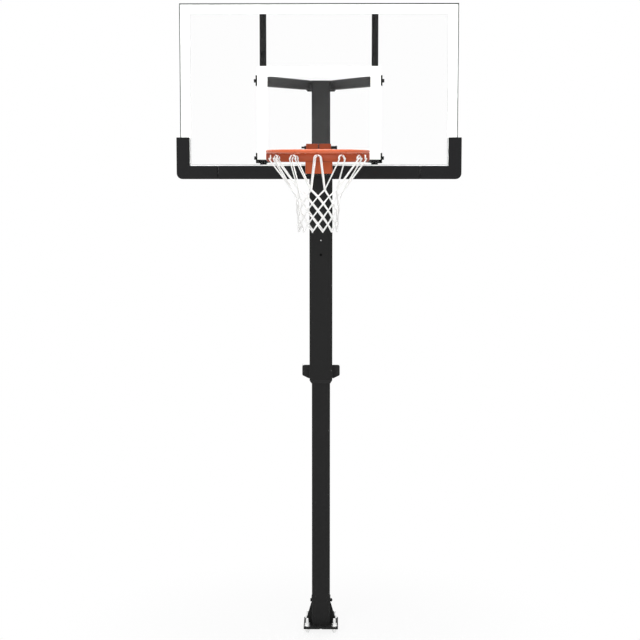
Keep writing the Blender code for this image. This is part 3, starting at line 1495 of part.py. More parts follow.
def make_brake_shoe(mats):
    """A rubber-faced block that clamps the lower pole through the sleeve's window."""
    front = POLE_HALF + SLIDE_GAP
    bm = bmesh.new()
    box(bm, (-SHOE_HALF, SHOE_HALF), (front, SHOE_END),
        (SLEEVE_BOTTOM + SHOE_LOW, SLEEVE_BOTTOM + SHOE_HIGH))
    shoe = finish("brake_shoe", bm, mats["brake_rubber"])
    tail_low = SLEEVE_BOTTOM + SHOE_TAIL_LOW
    bm = bmesh.new()
    box(bm, (0.001 - SHOE_HALF, SHOE_HALF - 0.001), (SHOE_END - 0.002, SHOE_TAIL_END),
        (tail_low, tail_low + SHOE_TAIL_T))
    combine(shoe, bm, "UNION")
    bm = bmesh.new()
    slot_half = LEVER_TAB_HALF + TAB_PLAY
    slot_y = LEVER_TAB_T / 2 + TAB_PLAY
    box(bm, (-slot_half, slot_half), (LEVER_PIN_Y - slot_y, LEVER_PIN_Y + slot_y),
        (tail_low - 0.005, tail_low + SHOE_TAIL_T + 0.005))
    combine(shoe, bm, "DIFFERENCE")
    return shoe


# Assembly

def add_pivot(name, place):
    """An empty on a joint's axis that carries the pieces which move together."""
    pivot = bpy.data.objects.new(name, None)
    pivot.location = place
    pivot.empty_display_size = 0.05
    bpy.context.scene.collection.objects.link(pivot)
    return pivot


def hang(pivot, objects):
    for obj in objects:
        obj.parent = pivot
        obj.location = -Vector(pivot.location)


def build():
    for obj in list(bpy.data.objects):
        bpy.data.objects.remove(obj)
    mats = make_materials()

    make_base_plate(mats)
    for word, side in mirror_sides():
        make_base_bracket(mats, "base_bracket_" + word, side)
    make_base_bolt(mats)
    make_anchors(mats)
    make_lower_pole(mats)
    make_pole_glide(mats)
    make_strut_cylinder(mats)

    lift = [make_outer_sleeve(mats), make_sleeve_bushing(mats), make_upper_pole(mats), make_pole_cap(mats),
            make_strut_rod(mats), make_strut_bolt(mats)]
    lift += make_sleeve_spacers(mats)
    lift += make_sleeve_bolts(mats)
    for level in ARM_Z:
        for word, side in mirror_sides():
            lift.append(make_arm(mats, "arm_" + level + "_" + word, side, level))
    lift += make_arm_bolts(mats)
    lift += make_frame(mats)
    lift.append(make_glass(mats))
    lift += make_prints(mats)
    lift += make_pads(mats)
    lift += [make_rim_plate(mats), make_backing_plate(mats), make_hinge_bolt(mats)]
    lift += make_spring_bolts(mats)
    lift += make_rim_springs(mats)
    lift += [make_handle(mats), make_lever_pin(mats)]
    hang(add_pivot("height_slide_pivot", (0, 0, SLEEVE_BOTTOM)), lift)

    rim = [make_ring(mats), make_brace(mats), make_rim_bracket(mats), make_net(mats)]
    hang(add_pivot("rim_hinge_pivot", (0, HINGE_Y, HINGE_Z)), rim)
    hang(add_pivot("lever_pivot", lever_pin_place()), [make_release_lever(mats)])
    hang(add_pivot("brake_pivot", (0, POLE_HALF, peg_z())), [make_brake_shoe(mats)])
    bpy.context.view_layer.update()


build()
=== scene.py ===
# A bolt-down basketball hoop: glass board, sprung rim, corded net and a pole that slides in a sleeve.
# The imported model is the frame, and everything here is in its metres, with +Z up and the board facing -Y.
import json
import math

import bmesh
import bpy
import numpy as np
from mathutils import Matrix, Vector


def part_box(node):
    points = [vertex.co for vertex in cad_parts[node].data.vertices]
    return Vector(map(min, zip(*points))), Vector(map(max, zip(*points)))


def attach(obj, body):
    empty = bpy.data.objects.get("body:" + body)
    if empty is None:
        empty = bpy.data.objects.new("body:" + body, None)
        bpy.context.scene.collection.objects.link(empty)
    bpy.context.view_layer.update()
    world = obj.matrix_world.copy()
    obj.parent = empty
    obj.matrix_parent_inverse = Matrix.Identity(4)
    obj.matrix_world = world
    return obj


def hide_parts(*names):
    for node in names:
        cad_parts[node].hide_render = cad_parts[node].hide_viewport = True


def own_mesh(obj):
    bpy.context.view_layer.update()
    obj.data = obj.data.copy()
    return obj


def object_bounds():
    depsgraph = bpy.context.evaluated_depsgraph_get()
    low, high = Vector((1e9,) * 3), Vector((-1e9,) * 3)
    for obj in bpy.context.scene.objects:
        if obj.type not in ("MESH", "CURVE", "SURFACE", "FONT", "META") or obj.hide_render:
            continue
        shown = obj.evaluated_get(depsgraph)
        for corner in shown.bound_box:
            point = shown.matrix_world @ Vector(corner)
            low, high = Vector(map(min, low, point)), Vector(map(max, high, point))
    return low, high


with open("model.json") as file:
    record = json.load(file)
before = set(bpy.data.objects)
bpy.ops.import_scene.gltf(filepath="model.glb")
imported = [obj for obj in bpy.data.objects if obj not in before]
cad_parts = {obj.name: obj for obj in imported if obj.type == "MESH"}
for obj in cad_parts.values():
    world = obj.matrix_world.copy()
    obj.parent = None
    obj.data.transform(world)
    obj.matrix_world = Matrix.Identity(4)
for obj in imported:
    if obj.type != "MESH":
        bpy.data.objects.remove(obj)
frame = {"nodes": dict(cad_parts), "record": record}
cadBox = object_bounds()
scene = bpy.context.scene
print("frame loaded:", len(frame["nodes"]), "nodes")


# Small helpers

def linear(hexCode):
    channels = [int(hexCode[i:i + 2], 16) / 255 for i in (0, 2, 4)]
    return (*[c / 12.92 if c <= 0.04045 else ((c + 0.055) / 1.055) ** 2.4 for c in channels], 1.0)


def perMetre(millimetres):
    return 1000 / millimetres


def addNode(tree, kind, settings=None, links=None):
    node = tree.nodes.new(kind)
    for key, value in (settings or {}).items():
        setattr(node, key, value)
    for key, value in (links or {}).items():
        if isinstance(value, bpy.types.NodeSocket):
            tree.links.new(value, node.inputs[key])
        else:
            node.inputs[key].default_value = value
    return node


def addObject(name, data):
    obj = bpy.data.objects.new(name, data)
    scene.collection.objects.link(obj)
    return obj


def lineMesh(name, paths):  # each path becomes a chain of edges
    points, edges = [], []
    for path in paths:
        first = len(points)
        points += [tuple(p) for p in path]
        edges += [(first + i, first + i + 1) for i in range(len(path) - 1)]
    mesh = bpy.data.meshes.new(name)
    mesh.from_pydata(points, edges, [])
    return mesh


def meshPiece(name, bm, material, sharp=None):  # ends a bmesh: one finish, smooth up to an angle in degrees
    mesh = bpy.data.meshes.new(name)
    bm.to_mesh(mesh)
    bm.free()
    if sharp:
        mesh.shade_smooth()
        mesh.set_sharp_from_angle(angle=math.radians(sharp))
    mesh.materials.append(material)
    return addObject(name, mesh)


def builtPiece(name, fill, material, sharp=None):  # a closed shape that fill puts in an empty bmesh
    bm = bmesh.new()
    fill(bm)
    bmesh.ops.recalc_face_normals(bm, faces=bm.faces[:])
    return meshPiece(name, bm, material, sharp)


def bridge(bm, first, second):  # faces between two loops with as many corners
    for i in range(len(first)):
        j = (i + 1) % len(first)
        bm.faces.new((first[i], first[j], second[j], second[i]))


def applied(obj, keepLayers=False):  # what the modifiers make becomes the piece's plain mesh
    graph = bpy.context.evaluated_depsgraph_get()
    graph.update()
    made = bpy.data.meshes.new_from_object(
        obj.evaluated_get(graph), preserve_all_data_layers=keepLayers, depsgraph=graph)
    made.name = obj.name
    obj.modifiers.clear()
    obj.data = made
    return obj


def dress(obj, body, slot, *nodes):  # ride on a body and stand for CAD nodes, which are hidden
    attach(obj, body)
    if nodes:
        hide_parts(*nodes)
    return obj


# Materials. Object coordinates are metres in the frame, so every scale is a real size.

def startMaterial(name, recipe):
    material = bpy.data.materials.new(name)
    material.use_nodes = True
    tree = material.node_tree
    tree.nodes.clear()
    shader = addNode(tree, "ShaderNodeBsdfPrincipled", links={
        "Metallic": recipe.get("metallic", 0.0), "IOR": recipe.get("ior", 1.5),
        "Specular IOR Level": recipe.get("specular", 0.5)})
    addNode(tree, "ShaderNodeOutputMaterial", links={"Surface": shader.outputs["BSDF"]})
    where = addNode(tree, "ShaderNodeTexCoord").outputs["Object"]
    return material, tree, shader, where


clouds = {"detail": 4.0, "roughness": 0.6, "low": 0.3, "high": 0.7}


def varied(tree, where, shader, recipe):  # two mottled colours and a roughness that drifts with them
    cloud = addNode(tree, "ShaderNodeTexNoise", links={
        "Vector": where, "Scale": perMetre(recipe["mottleMm"]), "Detail": clouds["detail"],
        "Roughness": clouds["roughness"]})
    tint = addNode(tree, "ShaderNodeMix", {"data_type": "RGBA"})
    tree.links.new(cloud.outputs["Fac"], tint.inputs["Factor"])
    tint.inputs["A"].default_value = linear(recipe["dark"])
    tint.inputs["B"].default_value = linear(recipe["light"])
    gloss = addNode(tree, "ShaderNodeMapRange", links={
        "Value": cloud.outputs["Fac"], "From Min": clouds["low"], "From Max": clouds["high"],
        "To Min": recipe["rough"][0], "To Max": recipe["rough"][1]})
    tree.links.new(gloss.outputs["Result"], shader.inputs["Roughness"])
    return tint.outputs["Result"]


def bumped(tree, height, shader, strength, millimetres):
    bump = addNode(tree, "ShaderNodeBump", links={
        "Height": height, "Strength": strength, "Distance": millimetres / 1000})
    tree.links.new(bump.outputs["Normal"], shader.inputs["Normal"])


orangePeel = {"detail": 2.0, "grainShare": 0.35, "depthMm": 0.12}


def powderCoat(name, recipe):
    # Baked polyester powder: satin, with the fine orange peel that the melted grains leave
    material, tree, shader, where = startMaterial(name, recipe)
    colour = varied(tree, where, shader, recipe)
    tree.links.new(colour, shader.inputs["Base Color"])
    peel = addNode(tree, "ShaderNodeTexNoise", links={
        "Vector": where, "Scale": perMetre(recipe["peelMm"]), "Detail": orangePeel["detail"]})
    grains = addNode(tree, "ShaderNodeTexVoronoi", {"feature": "F1"}, {
        "Vector": where, "Scale": perMetre(recipe["grainMm"])})
    height = addNode(tree, "ShaderNodeMath", {"operation": "MULTIPLY_ADD"}, {
        0: grains.outputs["Distance"], 1: orangePeel["grainShare"], 2: peel.outputs["Fac"]})
    bumped(tree, height.outputs["Value"], shader, recipe["bump"], orangePeel["depthMm"])
    return material


drawing = {"detail": 3.0, "depthMm": 0.05}


def platedSteel(name, recipe):
    # Zinc over steel: faint cool and warm clouds from the passivation, fine drawing marks under them
    material, tree, shader, where = startMaterial(name, recipe)
    colour = varied(tree, where, shader, recipe)
    tree.links.new(colour, shader.inputs["Base Color"])
    stretch = addNode(tree, "ShaderNodeMapping", links={"Vector": where, "Scale": recipe["stretch"]})
    marks = addNode(tree, "ShaderNodeTexNoise", links={
        "Vector": stretch.outputs["Vector"], "Scale": perMetre(recipe["markMm"]),
        "Detail": drawing["detail"]})
    bumped(tree, marks.outputs["Fac"], shader, recipe["bump"], drawing["depthMm"])
    return material


spark = {"smooth": 0.6, "ridge": 0.8, "hollowShade": 1.06, "ridgeShade": 0.9, "depthShare": 0.15}


def mouldedPlastic(name, recipe):
    # Spark-eroded mould texture: shallow round hollows between soft ridges, with painted light and shade: the
    # hollows slightly lighter, the ridges darker
    material, tree, shader, where = startMaterial(name, recipe)
    colour = varied(tree, where, shader, recipe)
    cells = addNode(tree, "ShaderNodeTexVoronoi", {"feature": "SMOOTH_F1"}, {
        "Vector": where, "Scale": perMetre(recipe["grainMm"]), "Smoothness": spark["smooth"]})
    shade = addNode(tree, "ShaderNodeMapRange", links={
        "Value": cells.outputs["Distance"], "From Min": 0.0, "From Max": spark["ridge"],
        "To Min": spark["hollowShade"], "To Max": spark["ridgeShade"]})
    mixed = addNode(tree, "ShaderNodeVectorMath", {"operation": "SCALE"}, {
        0: colour, "Scale": shade.outputs["Result"]})
    tree.links.new(mixed.outputs["Vector"], shader.inputs["Base Color"])
    depth = recipe["grainMm"] * spark["depthShare"]
    bumped(tree, cells.outputs["Distance"], shader, recipe["bump"], depth)
    return material


ripples = {"faceFrom": 0.5, "bump": 0.02, "depthMm": 0.1}


def toughGlass(name, recipe):
    # Clear float glass with ground edges: the faces are polished, the edges are frosted and green
    material, tree, shader, where = startMaterial(name, recipe)
    shader.inputs["Transmission Weight"].default_value = 1.0
    facing = addNode(tree, "ShaderNodeNewGeometry")
    parts = addNode(tree, "ShaderNodeSeparateXYZ", links={"Vector": facing.outputs["Normal"]})
    flat = addNode(tree, "ShaderNodeMath", {"operation": "ABSOLUTE"}, {0: parts.outputs["Y"]})
    face = addNode(tree, "ShaderNodeMath", {"operation": "GREATER_THAN"}, {
        0: flat.outputs["Value"], 1: ripples["faceFrom"]})
    tint = addNode(tree, "ShaderNodeMix", {"data_type": "RGBA"})
    tree.links.new(face.outputs["Value"], tint.inputs["Factor"])
    tint.inputs["A"].default_value = linear(recipe["edge"])
    tint.inputs["B"].default_value = linear(recipe["face"])
    tree.links.new(tint.outputs["Result"], shader.inputs["Base Color"])
    ripple = addNode(tree, "ShaderNodeTexNoise", links={
        "Vector": where, "Scale": perMetre(recipe["rippleMm"])})
    bumped(tree, ripple.outputs["Fac"], shader, ripples["bump"], ripples["depthMm"])
    frost = addNode(tree, "ShaderNodeMapRange", links={
        "Value": face.outputs["Value"], "To Min": recipe["edgeRough"], "To Max": recipe["faceRough"]})
    tree.links.new(frost.outputs["Result"], shader.inputs["Roughness"])
    through = addNode(tree, "ShaderNodeBsdfTransparent", links={"Color": linear(recipe["shadow"])})
    rays = addNode(tree, "ShaderNodeLightPath")
    mix = addNode(tree, "ShaderNodeMixShader", links={
        0: rays.outputs["Is Shadow Ray"], 1: shader.outputs["BSDF"], 2: through.outputs["BSDF"]})
    out = next(n for n in tree.nodes if n.type == "OUTPUT_MATERIAL")
    tree.links.new(mix.outputs["Shader"], out.inputs["Surface"])
    return material


screen = {"bump": 0.15, "depthMm": 0.02}


def firedInk(name, recipe):
    # Ceramic ink fired on the glass: opaque, nearly even, with the mesh of the printing screen
    material, tree, shader, where = startMaterial(name, recipe)
    colour = varied(tree, where, shader, recipe)
    tree.links.new(colour, shader.inputs["Base Color"])
    mesh = addNode(tree, "ShaderNodeTexChecker", links={"Vector": where, "Scale": perMetre(recipe["meshMm"])})
    bumped(tree, mesh.outputs["Fac"], shader, screen["bump"], screen["depthMm"])
    return material


twist = {"sheenRough": 0.5, "yarnShare": 0.3, "lowest": -1.3, "highest": 0.6, "depthMm": 0.35}


def twistedCord(name, recipe):
    # Twisted polyester: plies wind round the cord, each with its own fine yarns, and the grooves between them
    # are darkened as painted shade
    material, tree, shader, where = startMaterial(name, recipe)
    shader.inputs["Sheen Weight"].default_value = recipe["sheen"]
    shader.inputs["Sheen Roughness"].default_value = twist["sheenRough"]
    colour = varied(tree, where, shader, recipe)
    wound = addNode(tree, "ShaderNodeUVMap", {"uv_map": "wound"})
    parts = addNode(tree, "ShaderNodeSeparateXYZ", links={"Vector": wound.outputs["UV"]})
    heights = []
    for turns, pitch in ((recipe["plies"], recipe["plyMm"]), (-recipe["yarns"], recipe["yarnMm"])):
        along = addNode(tree, "ShaderNodeMath", {"operation": "MULTIPLY"}, {
            0: parts.outputs["X"], 1: 2 * math.pi * perMetre(pitch)})
        angle = addNode(tree, "ShaderNodeMath", {"operation": "MULTIPLY_ADD"}, {
            0: parts.outputs["Y"], 1: 2 * math.pi * turns, 2: along.outputs["Value"]})
        wave = addNode(tree, "ShaderNodeMath", {"operation": "SINE"}, {0: angle.outputs["Value"]})
        heights.append(wave.outputs["Value"])
    both = addNode(tree, "ShaderNodeMath", {"operation": "MULTIPLY_ADD"}, {
        0: heights[1], 1: twist["yarnShare"], 2: heights[0]})
    shade = addNode(tree, "ShaderNodeMapRange", links={
        "Value": both.outputs["Value"], "From Min": twist["lowest"], "From Max": twist["highest"],
        "To Min": recipe["grooveShade"], "To Max": 1.0})
    mixed = addNode(tree, "ShaderNodeVectorMath", {"operation": "SCALE"}, {
        0: colour, "Scale": shade.outputs["Result"]})
    tree.links.new(mixed.outputs["Vector"], shader.inputs["Base Color"])
    bumped(tree, both.outputs["Value"], shader, recipe["bump"], twist["depthMm"])
    return material


# The real grain, screen mesh and drawing marks are finer: these are as coarse as a close view needs
blackRecipe = {"dark": "222222", "light": "262626", "rough": (0.5, 0.62), "specular": 0.08,
               "mottleMm": 60, "peelMm": 2.6, "grainMm": 1.4, "bump": 0.22}
armLitRecipe = {**blackRecipe, "dark": "333333", "light": "373737", "rough": (0.46, 0.58)}
railShadedRecipe = {**blackRecipe, "dark": "0e0e0e", "light": "111111", "specular": 0.04}
orangeRecipe = {"dark": "c35c38", "light": "cd623d", "rough": (0.34, 0.44), "specular": 0.16,
                "mottleMm": 45, "peelMm": 2.6, "grainMm": 1.0, "bump": 0.3}
bandShadedRecipe = {**orangeRecipe, "dark": "a54b2e", "light": "ae5132"}
bracketShadedRecipe = {**orangeRecipe, "dark": "8a3c20", "light": "934224"}
hoopLitRecipe = {**orangeRecipe, "dark": "d1643d", "light": "db6b43", "rough": (0.26, 0.34), "specular": 0.3}
zincRecipe = {"dark": "e4e6e9", "light": "f3f2ee", "rough": (0.3, 0.42), "metallic": 0.85,
              "mottleMm": 6, "markMm": 0.8, "stretch": (1.0, 1.0, 0.2), "bump": 0.3}
steelRecipe = {"dark": "7f8286", "light": "94979b", "rough": (0.28, 0.42), "metallic": 1.0,
               "mottleMm": 8, "markMm": 0.6, "stretch": (1.0, 1.0, 0.15), "bump": 0.25}
nylonRecipe = {"dark": "252525", "light": "2c2c2c", "rough": (0.5, 0.62), "specular": 0.14,
               "mottleMm": 30, "grainMm": 1.1, "bump": 0.5}
holeShadeRecipe = {**nylonRecipe, "dark": "050505", "light": "070707", "specular": 0.03}
padRecipe = {"dark": "1f1f20", "light": "242425", "rough": (0.58, 0.7), "specular": 0.09,
             "mottleMm": 80, "grainMm": 2.4, "bump": 0.55}
brakeRecipe = {"dark": "161616", "light": "1f1f1f", "rough": (0.75, 0.9), "specular": 0.2,
               "mottleMm": 5, "grainMm": 0.7, "bump": 0.6}
glassRecipe = {"face": "fdfdfd", "edge": "8fa79c", "shadow": "f4f7f5", "rippleMm": 240, "ior": 1.2,
               "faceRough": 0.0, "edgeRough": 0.25}
arrisRecipe = {"dark": "2a302d", "light": "363d3a", "rough": (0.4, 0.55), "specular": 0.15,
               "mottleMm": 25, "grainMm": 0.4, "bump": 0.3}
inkRecipe = {"dark": "fbfbfa", "light": "fdfdfd", "rough": (0.5, 0.6), "mottleMm": 90, "meshMm": 1.6}
printEdgeShadeRecipe = {**inkRecipe, "dark": "8f9391", "light": "999d9b"}
targetInkRecipe = {**inkRecipe, "dark": "e6e6e5", "light": "e9e9e8"}
cordRecipe = {"dark": "f7f7f5", "light": "fdfdfc", "rough": (0.8, 0.9), "mottleMm": 14, "sheen": 0.15,
              "plies": 3, "plyMm": 13, "yarns": 9, "yarnMm": 3.2, "grooveShade": 0.84, "bump": 0.6}

blackCoat = powderCoat("blackPowderCoat", blackRecipe)
armLitCoat = powderCoat("blackPowderCoatSatinLit", armLitRecipe)  # painted light: a lighter satin copy of the black coat, as the arms and upper pole look lighter behind the glass
railShadedCoat = powderCoat("blackPowderCoatMattShaded", railShadedRecipe)  # painted shade: a darker, matt copy of the black coat for the board's frame behind the glass
orangeCoat = powderCoat("orangePowderCoat", orangeRecipe)
bandShadedCoat = powderCoat("orangePowderCoatShaded", bandShadedRecipe)  # painted shade: a darker, browner copy of the orange coat for the band and hooks under the bar
bracketShadedCoat = powderCoat("orangePowderCoatHousingShade", bracketShadedRecipe)  # painted shade: a darker copy of the orange coat for the shade inside the housing
hoopLitCoat = powderCoat("orangePowderCoatGlossLit", hoopLitRecipe)  # glossier, and a lighter copy of the orange coat as painted light, so the bar has a bright line
zincPlate = platedSteel("zincPlatedSteel", zincRecipe)
springSteel = platedSteel("drawnSpringSteel", steelRecipe)  # bare drawn wire, darker than the zinc
blackNylon = mouldedPlastic("mouldedNylon", nylonRecipe)
holeShadeNylon = mouldedPlastic("mouldedNylonHoleShade", holeShadeRecipe)  # painted shade: near-black and dull, so the disc reads as the dark inside of the spare hole
foamSkin = mouldedPlastic("polyurethaneFoamSkin", padRecipe)  # a coarser and duller grain
brakeRubber = mouldedPlastic("brakeRubber", brakeRecipe)  # fine and nearly matt
clearGlass = toughGlass("toughenedGlass", glassRecipe)
groundGlass = mouldedPlastic("groundGlassEdge", arrisRecipe)  # the wheel leaves fine pits in it
whiteInk = firedInk("firedCeramicInk", inkRecipe)
printEdgeShadeInk = firedInk("ceramicInkEdgeShade", printEdgeShadeRecipe)  # painted shade: a grey line along the border print's inner edge
targetInk = firedInk("satinCeramicInk", targetInkRecipe)  # a shade greyer than the border
netCord = twistedCord("twistedPolyesterCord", cordRecipe)

slotMaterials = {
    "black_powder_coat": blackCoat, "orange_powder_coat": orangeCoat, "zinc": zincPlate,
    "steel": springSteel, "black_plastic": blackNylon, "pad_polymer": foamSkin, "glass": clearGlass,
    "white_ceramic_print": whiteInk, "net_cord": netCord, "brake_rubber": brakeRubber}

slotOf, bodyOf = {}, {}
for part in frame["record"]["subparts"]:
    slotOf[part["node"]] = part["material_slot"]
for body, members in frame["record"]["behaviour"]["bodies"].items():
    for node in members:
        bodyOf[node] = body
# The upper pole, its cap and the arms take the lighter copy of the black coat, which is painted light
coatOf = {"upper_pole": armLitCoat, "pole_cap": armLitCoat, "target_print": targetInk, "rim_bracket": bracketShadedCoat}
coatOf.update({node: armLitCoat for node in frame["nodes"] if node.startswith("arm_")})
coatOf.update({node: railShadedCoat for node in frame["nodes"] if node.startswith("frame_")})
for node, obj in frame["nodes"].items():
    coatOf.setdefault(node, slotMaterials[slotOf[node]])
    obj.data.materials.clear()
    obj.data.materials.append(coatOf[node])
print("materials made and given to the nodes")


# Geometry Nodes: one tree for each kind of thing that repeats or follows a path

def newTree(name, inputs):
    tree = bpy.data.node_groups.new(name, "GeometryNodeTree")
    tree.interface.new_socket("Geometry", in_out="INPUT", socket_type="NodeSocketGeometry")
    for label, (kind, value) in inputs.items():
        socket = tree.interface.new_socket(label, in_out="INPUT", socket_type="NodeSocket" + kind)
        if value is not None:
            socket.default_value = value
    tree.interface.new_socket("Geometry", in_out="OUTPUT", socket_type="NodeSocketGeometry")
    return tree, addNode(tree, "NodeGroupInput").outputs


def endTree(tree, geometry, material):
    real = addNode(tree, "GeometryNodeRealizeInstances", links={"Geometry": geometry})
    painted = addNode(tree, "GeometryNodeSetMaterial", links={
        "Geometry": real.outputs["Geometry"], "Material": material})
    addNode(tree, "NodeGroupOutput", links={"Geometry": painted.outputs["Geometry"]})
    return tree


def grow(name, mesh, tree, values):  # runs a tree on a mesh and keeps the result as a plain mesh
    obj = addObject(name, mesh)
    modifier = obj.modifiers.new("grow", "NODES")
    modifier.node_group = tree
    for item in tree.interface.items_tree:
        if item.in_out == "INPUT" and item.name in values:
            modifier[item.identifier] = values[item.name]
    return applied(obj, keepLayers=True)


treeDetail = {"curve": 12, "threadLoop": 24, "threadRidge": 4, "beadRounds": 2, "beadFlat": 0.75,
              "beadLeast": 0.86, "beadMost": 1.1, "beadSeed": 7}


def tubeTree():  # a round wire or cord along every chain of edges
    tree, given = newTree("tube", {
        "Radius": ("Float", 0.003), "Step": ("Float", 0.003), "Sides": ("Int", 12),
        "Material": ("Material", None)})
    curve = addNode(tree, "GeometryNodeMeshToCurve", links={"Mesh": given["Geometry"]})
    smooth = addNode(tree, "GeometryNodeCurveSplineType", {"spline_type": "CATMULL_ROM"}, {
        "Curve": curve.outputs["Curve"]})
    fine = addNode(tree, "GeometryNodeSetSplineResolution", links={
        "Geometry": smooth.outputs["Curve"], "Resolution": treeDetail["curve"]})
    even = addNode(tree, "GeometryNodeResampleCurve", {"mode": "LENGTH"}, {
        "Curve": fine.outputs["Geometry"], "Length": given["Step"]})
    place = addNode(tree, "GeometryNodeSplineParameter")
    along = addNode(tree, "GeometryNodeStoreNamedAttribute", {"data_type": "FLOAT", "domain": "POINT"}, {
        "Geometry": even.outputs["Curve"], "Name": "along", "Value": place.outputs["Length"]})
    circle = addNode(tree, "GeometryNodeCurvePrimitiveCircle", links={
        "Resolution": given["Sides"], "Radius": given["Radius"]})
    profile = addNode(tree, "GeometryNodeStoreNamedAttribute", {"data_type": "FLOAT", "domain": "POINT"}, {
        "Geometry": circle.outputs["Curve"], "Name": "around", "Value": place.outputs["Factor"]})
    tube = addNode(tree, "GeometryNodeCurveToMesh", links={
        "Curve": along.outputs["Geometry"], "Profile Curve": profile.outputs["Geometry"], "Fill Caps": True})
    soft = addNode(tree, "GeometryNodeSetShadeSmooth", links={"Geometry": tube.outputs["Mesh"]})
    return endTree(tree, soft.outputs["Geometry"], given["Material"])


def threadTree():  # rings at every pitch along a straight edge, as a cut thread shows
    tree, given = newTree("thread", {
        "Radius": ("Float", 0.008), "Pitch": ("Float", 0.002), "Ridge": ("Float", 0.0006),
        "Material": ("Material", None)})
    curve = addNode(tree, "GeometryNodeMeshToCurve", links={"Mesh": given["Geometry"]})
    points = addNode(tree, "GeometryNodeCurveToPoints", {"mode": "LENGTH"}, {
        "Curve": curve.outputs["Curve"], "Length": given["Pitch"]})
    loop = addNode(tree, "GeometryNodeCurvePrimitiveCircle", links={
        "Resolution": treeDetail["threadLoop"], "Radius": given["Radius"]})
    ridge = addNode(tree, "GeometryNodeCurvePrimitiveCircle", links={
        "Resolution": treeDetail["threadRidge"], "Radius": given["Ridge"]})
    ring = addNode(tree, "GeometryNodeCurveToMesh", links={
        "Curve": loop.outputs["Curve"], "Profile Curve": ridge.outputs["Curve"]})
    soft = addNode(tree, "GeometryNodeSetShadeSmooth", links={"Geometry": ring.outputs["Mesh"]})
    turns = addNode(tree, "GeometryNodeInstanceOnPoints", links={
        "Points": points.outputs["Points"], "Instance": soft.outputs["Geometry"],
        "Rotation": points.outputs["Rotation"]})
    return endTree(tree, turns.outputs["Instances"], given["Material"])


def washerTree():  # a round disc as thick as each straight edge is long
    tree, given = newTree("washer", {
        "Radius": ("Float", 0.011), "Sides": ("Int", 40), "Material": ("Material", None)})
    curve = addNode(tree, "GeometryNodeMeshToCurve", links={"Mesh": given["Geometry"]})
    rim = addNode(tree, "GeometryNodeCurvePrimitiveCircle", links={
        "Resolution": given["Sides"], "Radius": given["Radius"]})
    disc = addNode(tree, "GeometryNodeCurveToMesh", links={
        "Curve": curve.outputs["Curve"], "Profile Curve": rim.outputs["Curve"], "Fill Caps": True})
    return endTree(tree, disc.outputs["Mesh"], given["Material"])


def weldTree():  # overlapping ripples along a seam, each a little different
    tree, given = newTree("weld", {
        "Size": ("Float", 0.003), "Pitch": ("Float", 0.003), "Material": ("Material", None)})
    curve = addNode(tree, "GeometryNodeMeshToCurve", links={"Mesh": given["Geometry"]})
    points = addNode(tree, "GeometryNodeCurveToPoints", {"mode": "LENGTH"}, {
        "Curve": curve.outputs["Curve"], "Length": given["Pitch"]})
    drop = addNode(tree, "GeometryNodeMeshIcoSphere", links={
        "Radius": given["Size"], "Subdivisions": treeDetail["beadRounds"]})
    flat = addNode(tree, "GeometryNodeTransform", links={
        "Geometry": drop.outputs["Mesh"], "Scale": (1.0, 1.0, treeDetail["beadFlat"])})
    soft = addNode(tree, "GeometryNodeSetShadeSmooth", links={"Geometry": flat.outputs["Geometry"]})
    chance = addNode(tree, "FunctionNodeRandomValue", {"data_type": "FLOAT"}, {
        2: treeDetail["beadLeast"], 3: treeDetail["beadMost"], "Seed": treeDetail["beadSeed"]})
    beadRow = addNode(tree, "GeometryNodeInstanceOnPoints", links={
        "Points": points.outputs["Points"], "Instance": soft.outputs["Geometry"],
        "Rotation": points.outputs["Rotation"], "Scale": chance.outputs[1]})
    return endTree(tree, beadRow.outputs["Instances"], given["Material"])


tubes, threads, washers, welds = tubeTree(), threadTree(), washerTree(), weldTree()


def windUv(obj):  # metres along and turns round, as the cord's own UV map
    mesh = obj.data
    corners = np.empty(len(mesh.loops), int)
    mesh.loops.foreach_get("vertex_index", corners)
    along, around = np.empty(len(mesh.vertices)), np.empty(len(mesh.vertices))
    mesh.attributes["along"].data.foreach_get("value", along)
    mesh.attributes["around"].data.foreach_get("value", around)
    uv = np.stack([along[corners], around[corners]], 1)
    starts, totals = np.empty(len(mesh.polygons), int), np.empty(len(mesh.polygons), int)
    mesh.polygons.foreach_get("loop_start", starts)
    mesh.polygons.foreach_get("loop_total", totals)
    owner = np.repeat(np.arange(len(totals)), totals)
    top = np.maximum.reduceat(uv[:, 1], starts)[owner]
    late, early = 0.7, 0.3  # shares of a turn: a face that spans both lies across the seam
    uv[(top > late) & (uv[:, 1] < early), 1] += 1.0
    mesh.uv_layers.new(name="wound").data.foreach_set("uv", uv.astype(np.float32).ravel())


# Net: twelve cords hang from the hooks, cross one another at seven rows and meet at the foot

net = {"hooks": 12, "cordRadius": 0.0030, "rows": 7, "hangRadius": 0.2215, "hangOut": 0.001,
       "hookDrop": 0.0245, "hookWire": 0.002, "play": 0.0006, "firstRow": 0.1865, "rowStep": 0.0325,
       "topRadius": 0.1255, "footRadius": 0.0925, "narrowing": 0.25, "weave": 0.8,
       "arch": ((0.0075, 0.0012), (0.0125, 0.0060), (0.0150, 0.0150), (0.0158, 0.0260)),
       "foot": 0.0018, "footApart": 0.0008, "bend": 0.0075, "bendShare": 0.4, "step": 0.0028, "sides": 10}

ringLow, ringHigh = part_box("rim_ring")
ringTube = 0.00795  # the bar's radius
ringCentre = Vector(((ringLow.x + ringHigh.x) / 2, (ringLow.y + ringHigh.y) / 2, ringHigh.z))
ringRadius = (ringHigh.x - ringLow.x) / 2 - ringTube


def onRing(angle, radius, down):
    return Vector((ringCentre.x + radius * math.cos(angle), ringCentre.y + radius * math.sin(angle),
                   ringCentre.z - down))


def hookAngle(hook):  # the first hook is in front
    return 2 * math.pi * hook / net["hooks"] - math.pi / 2


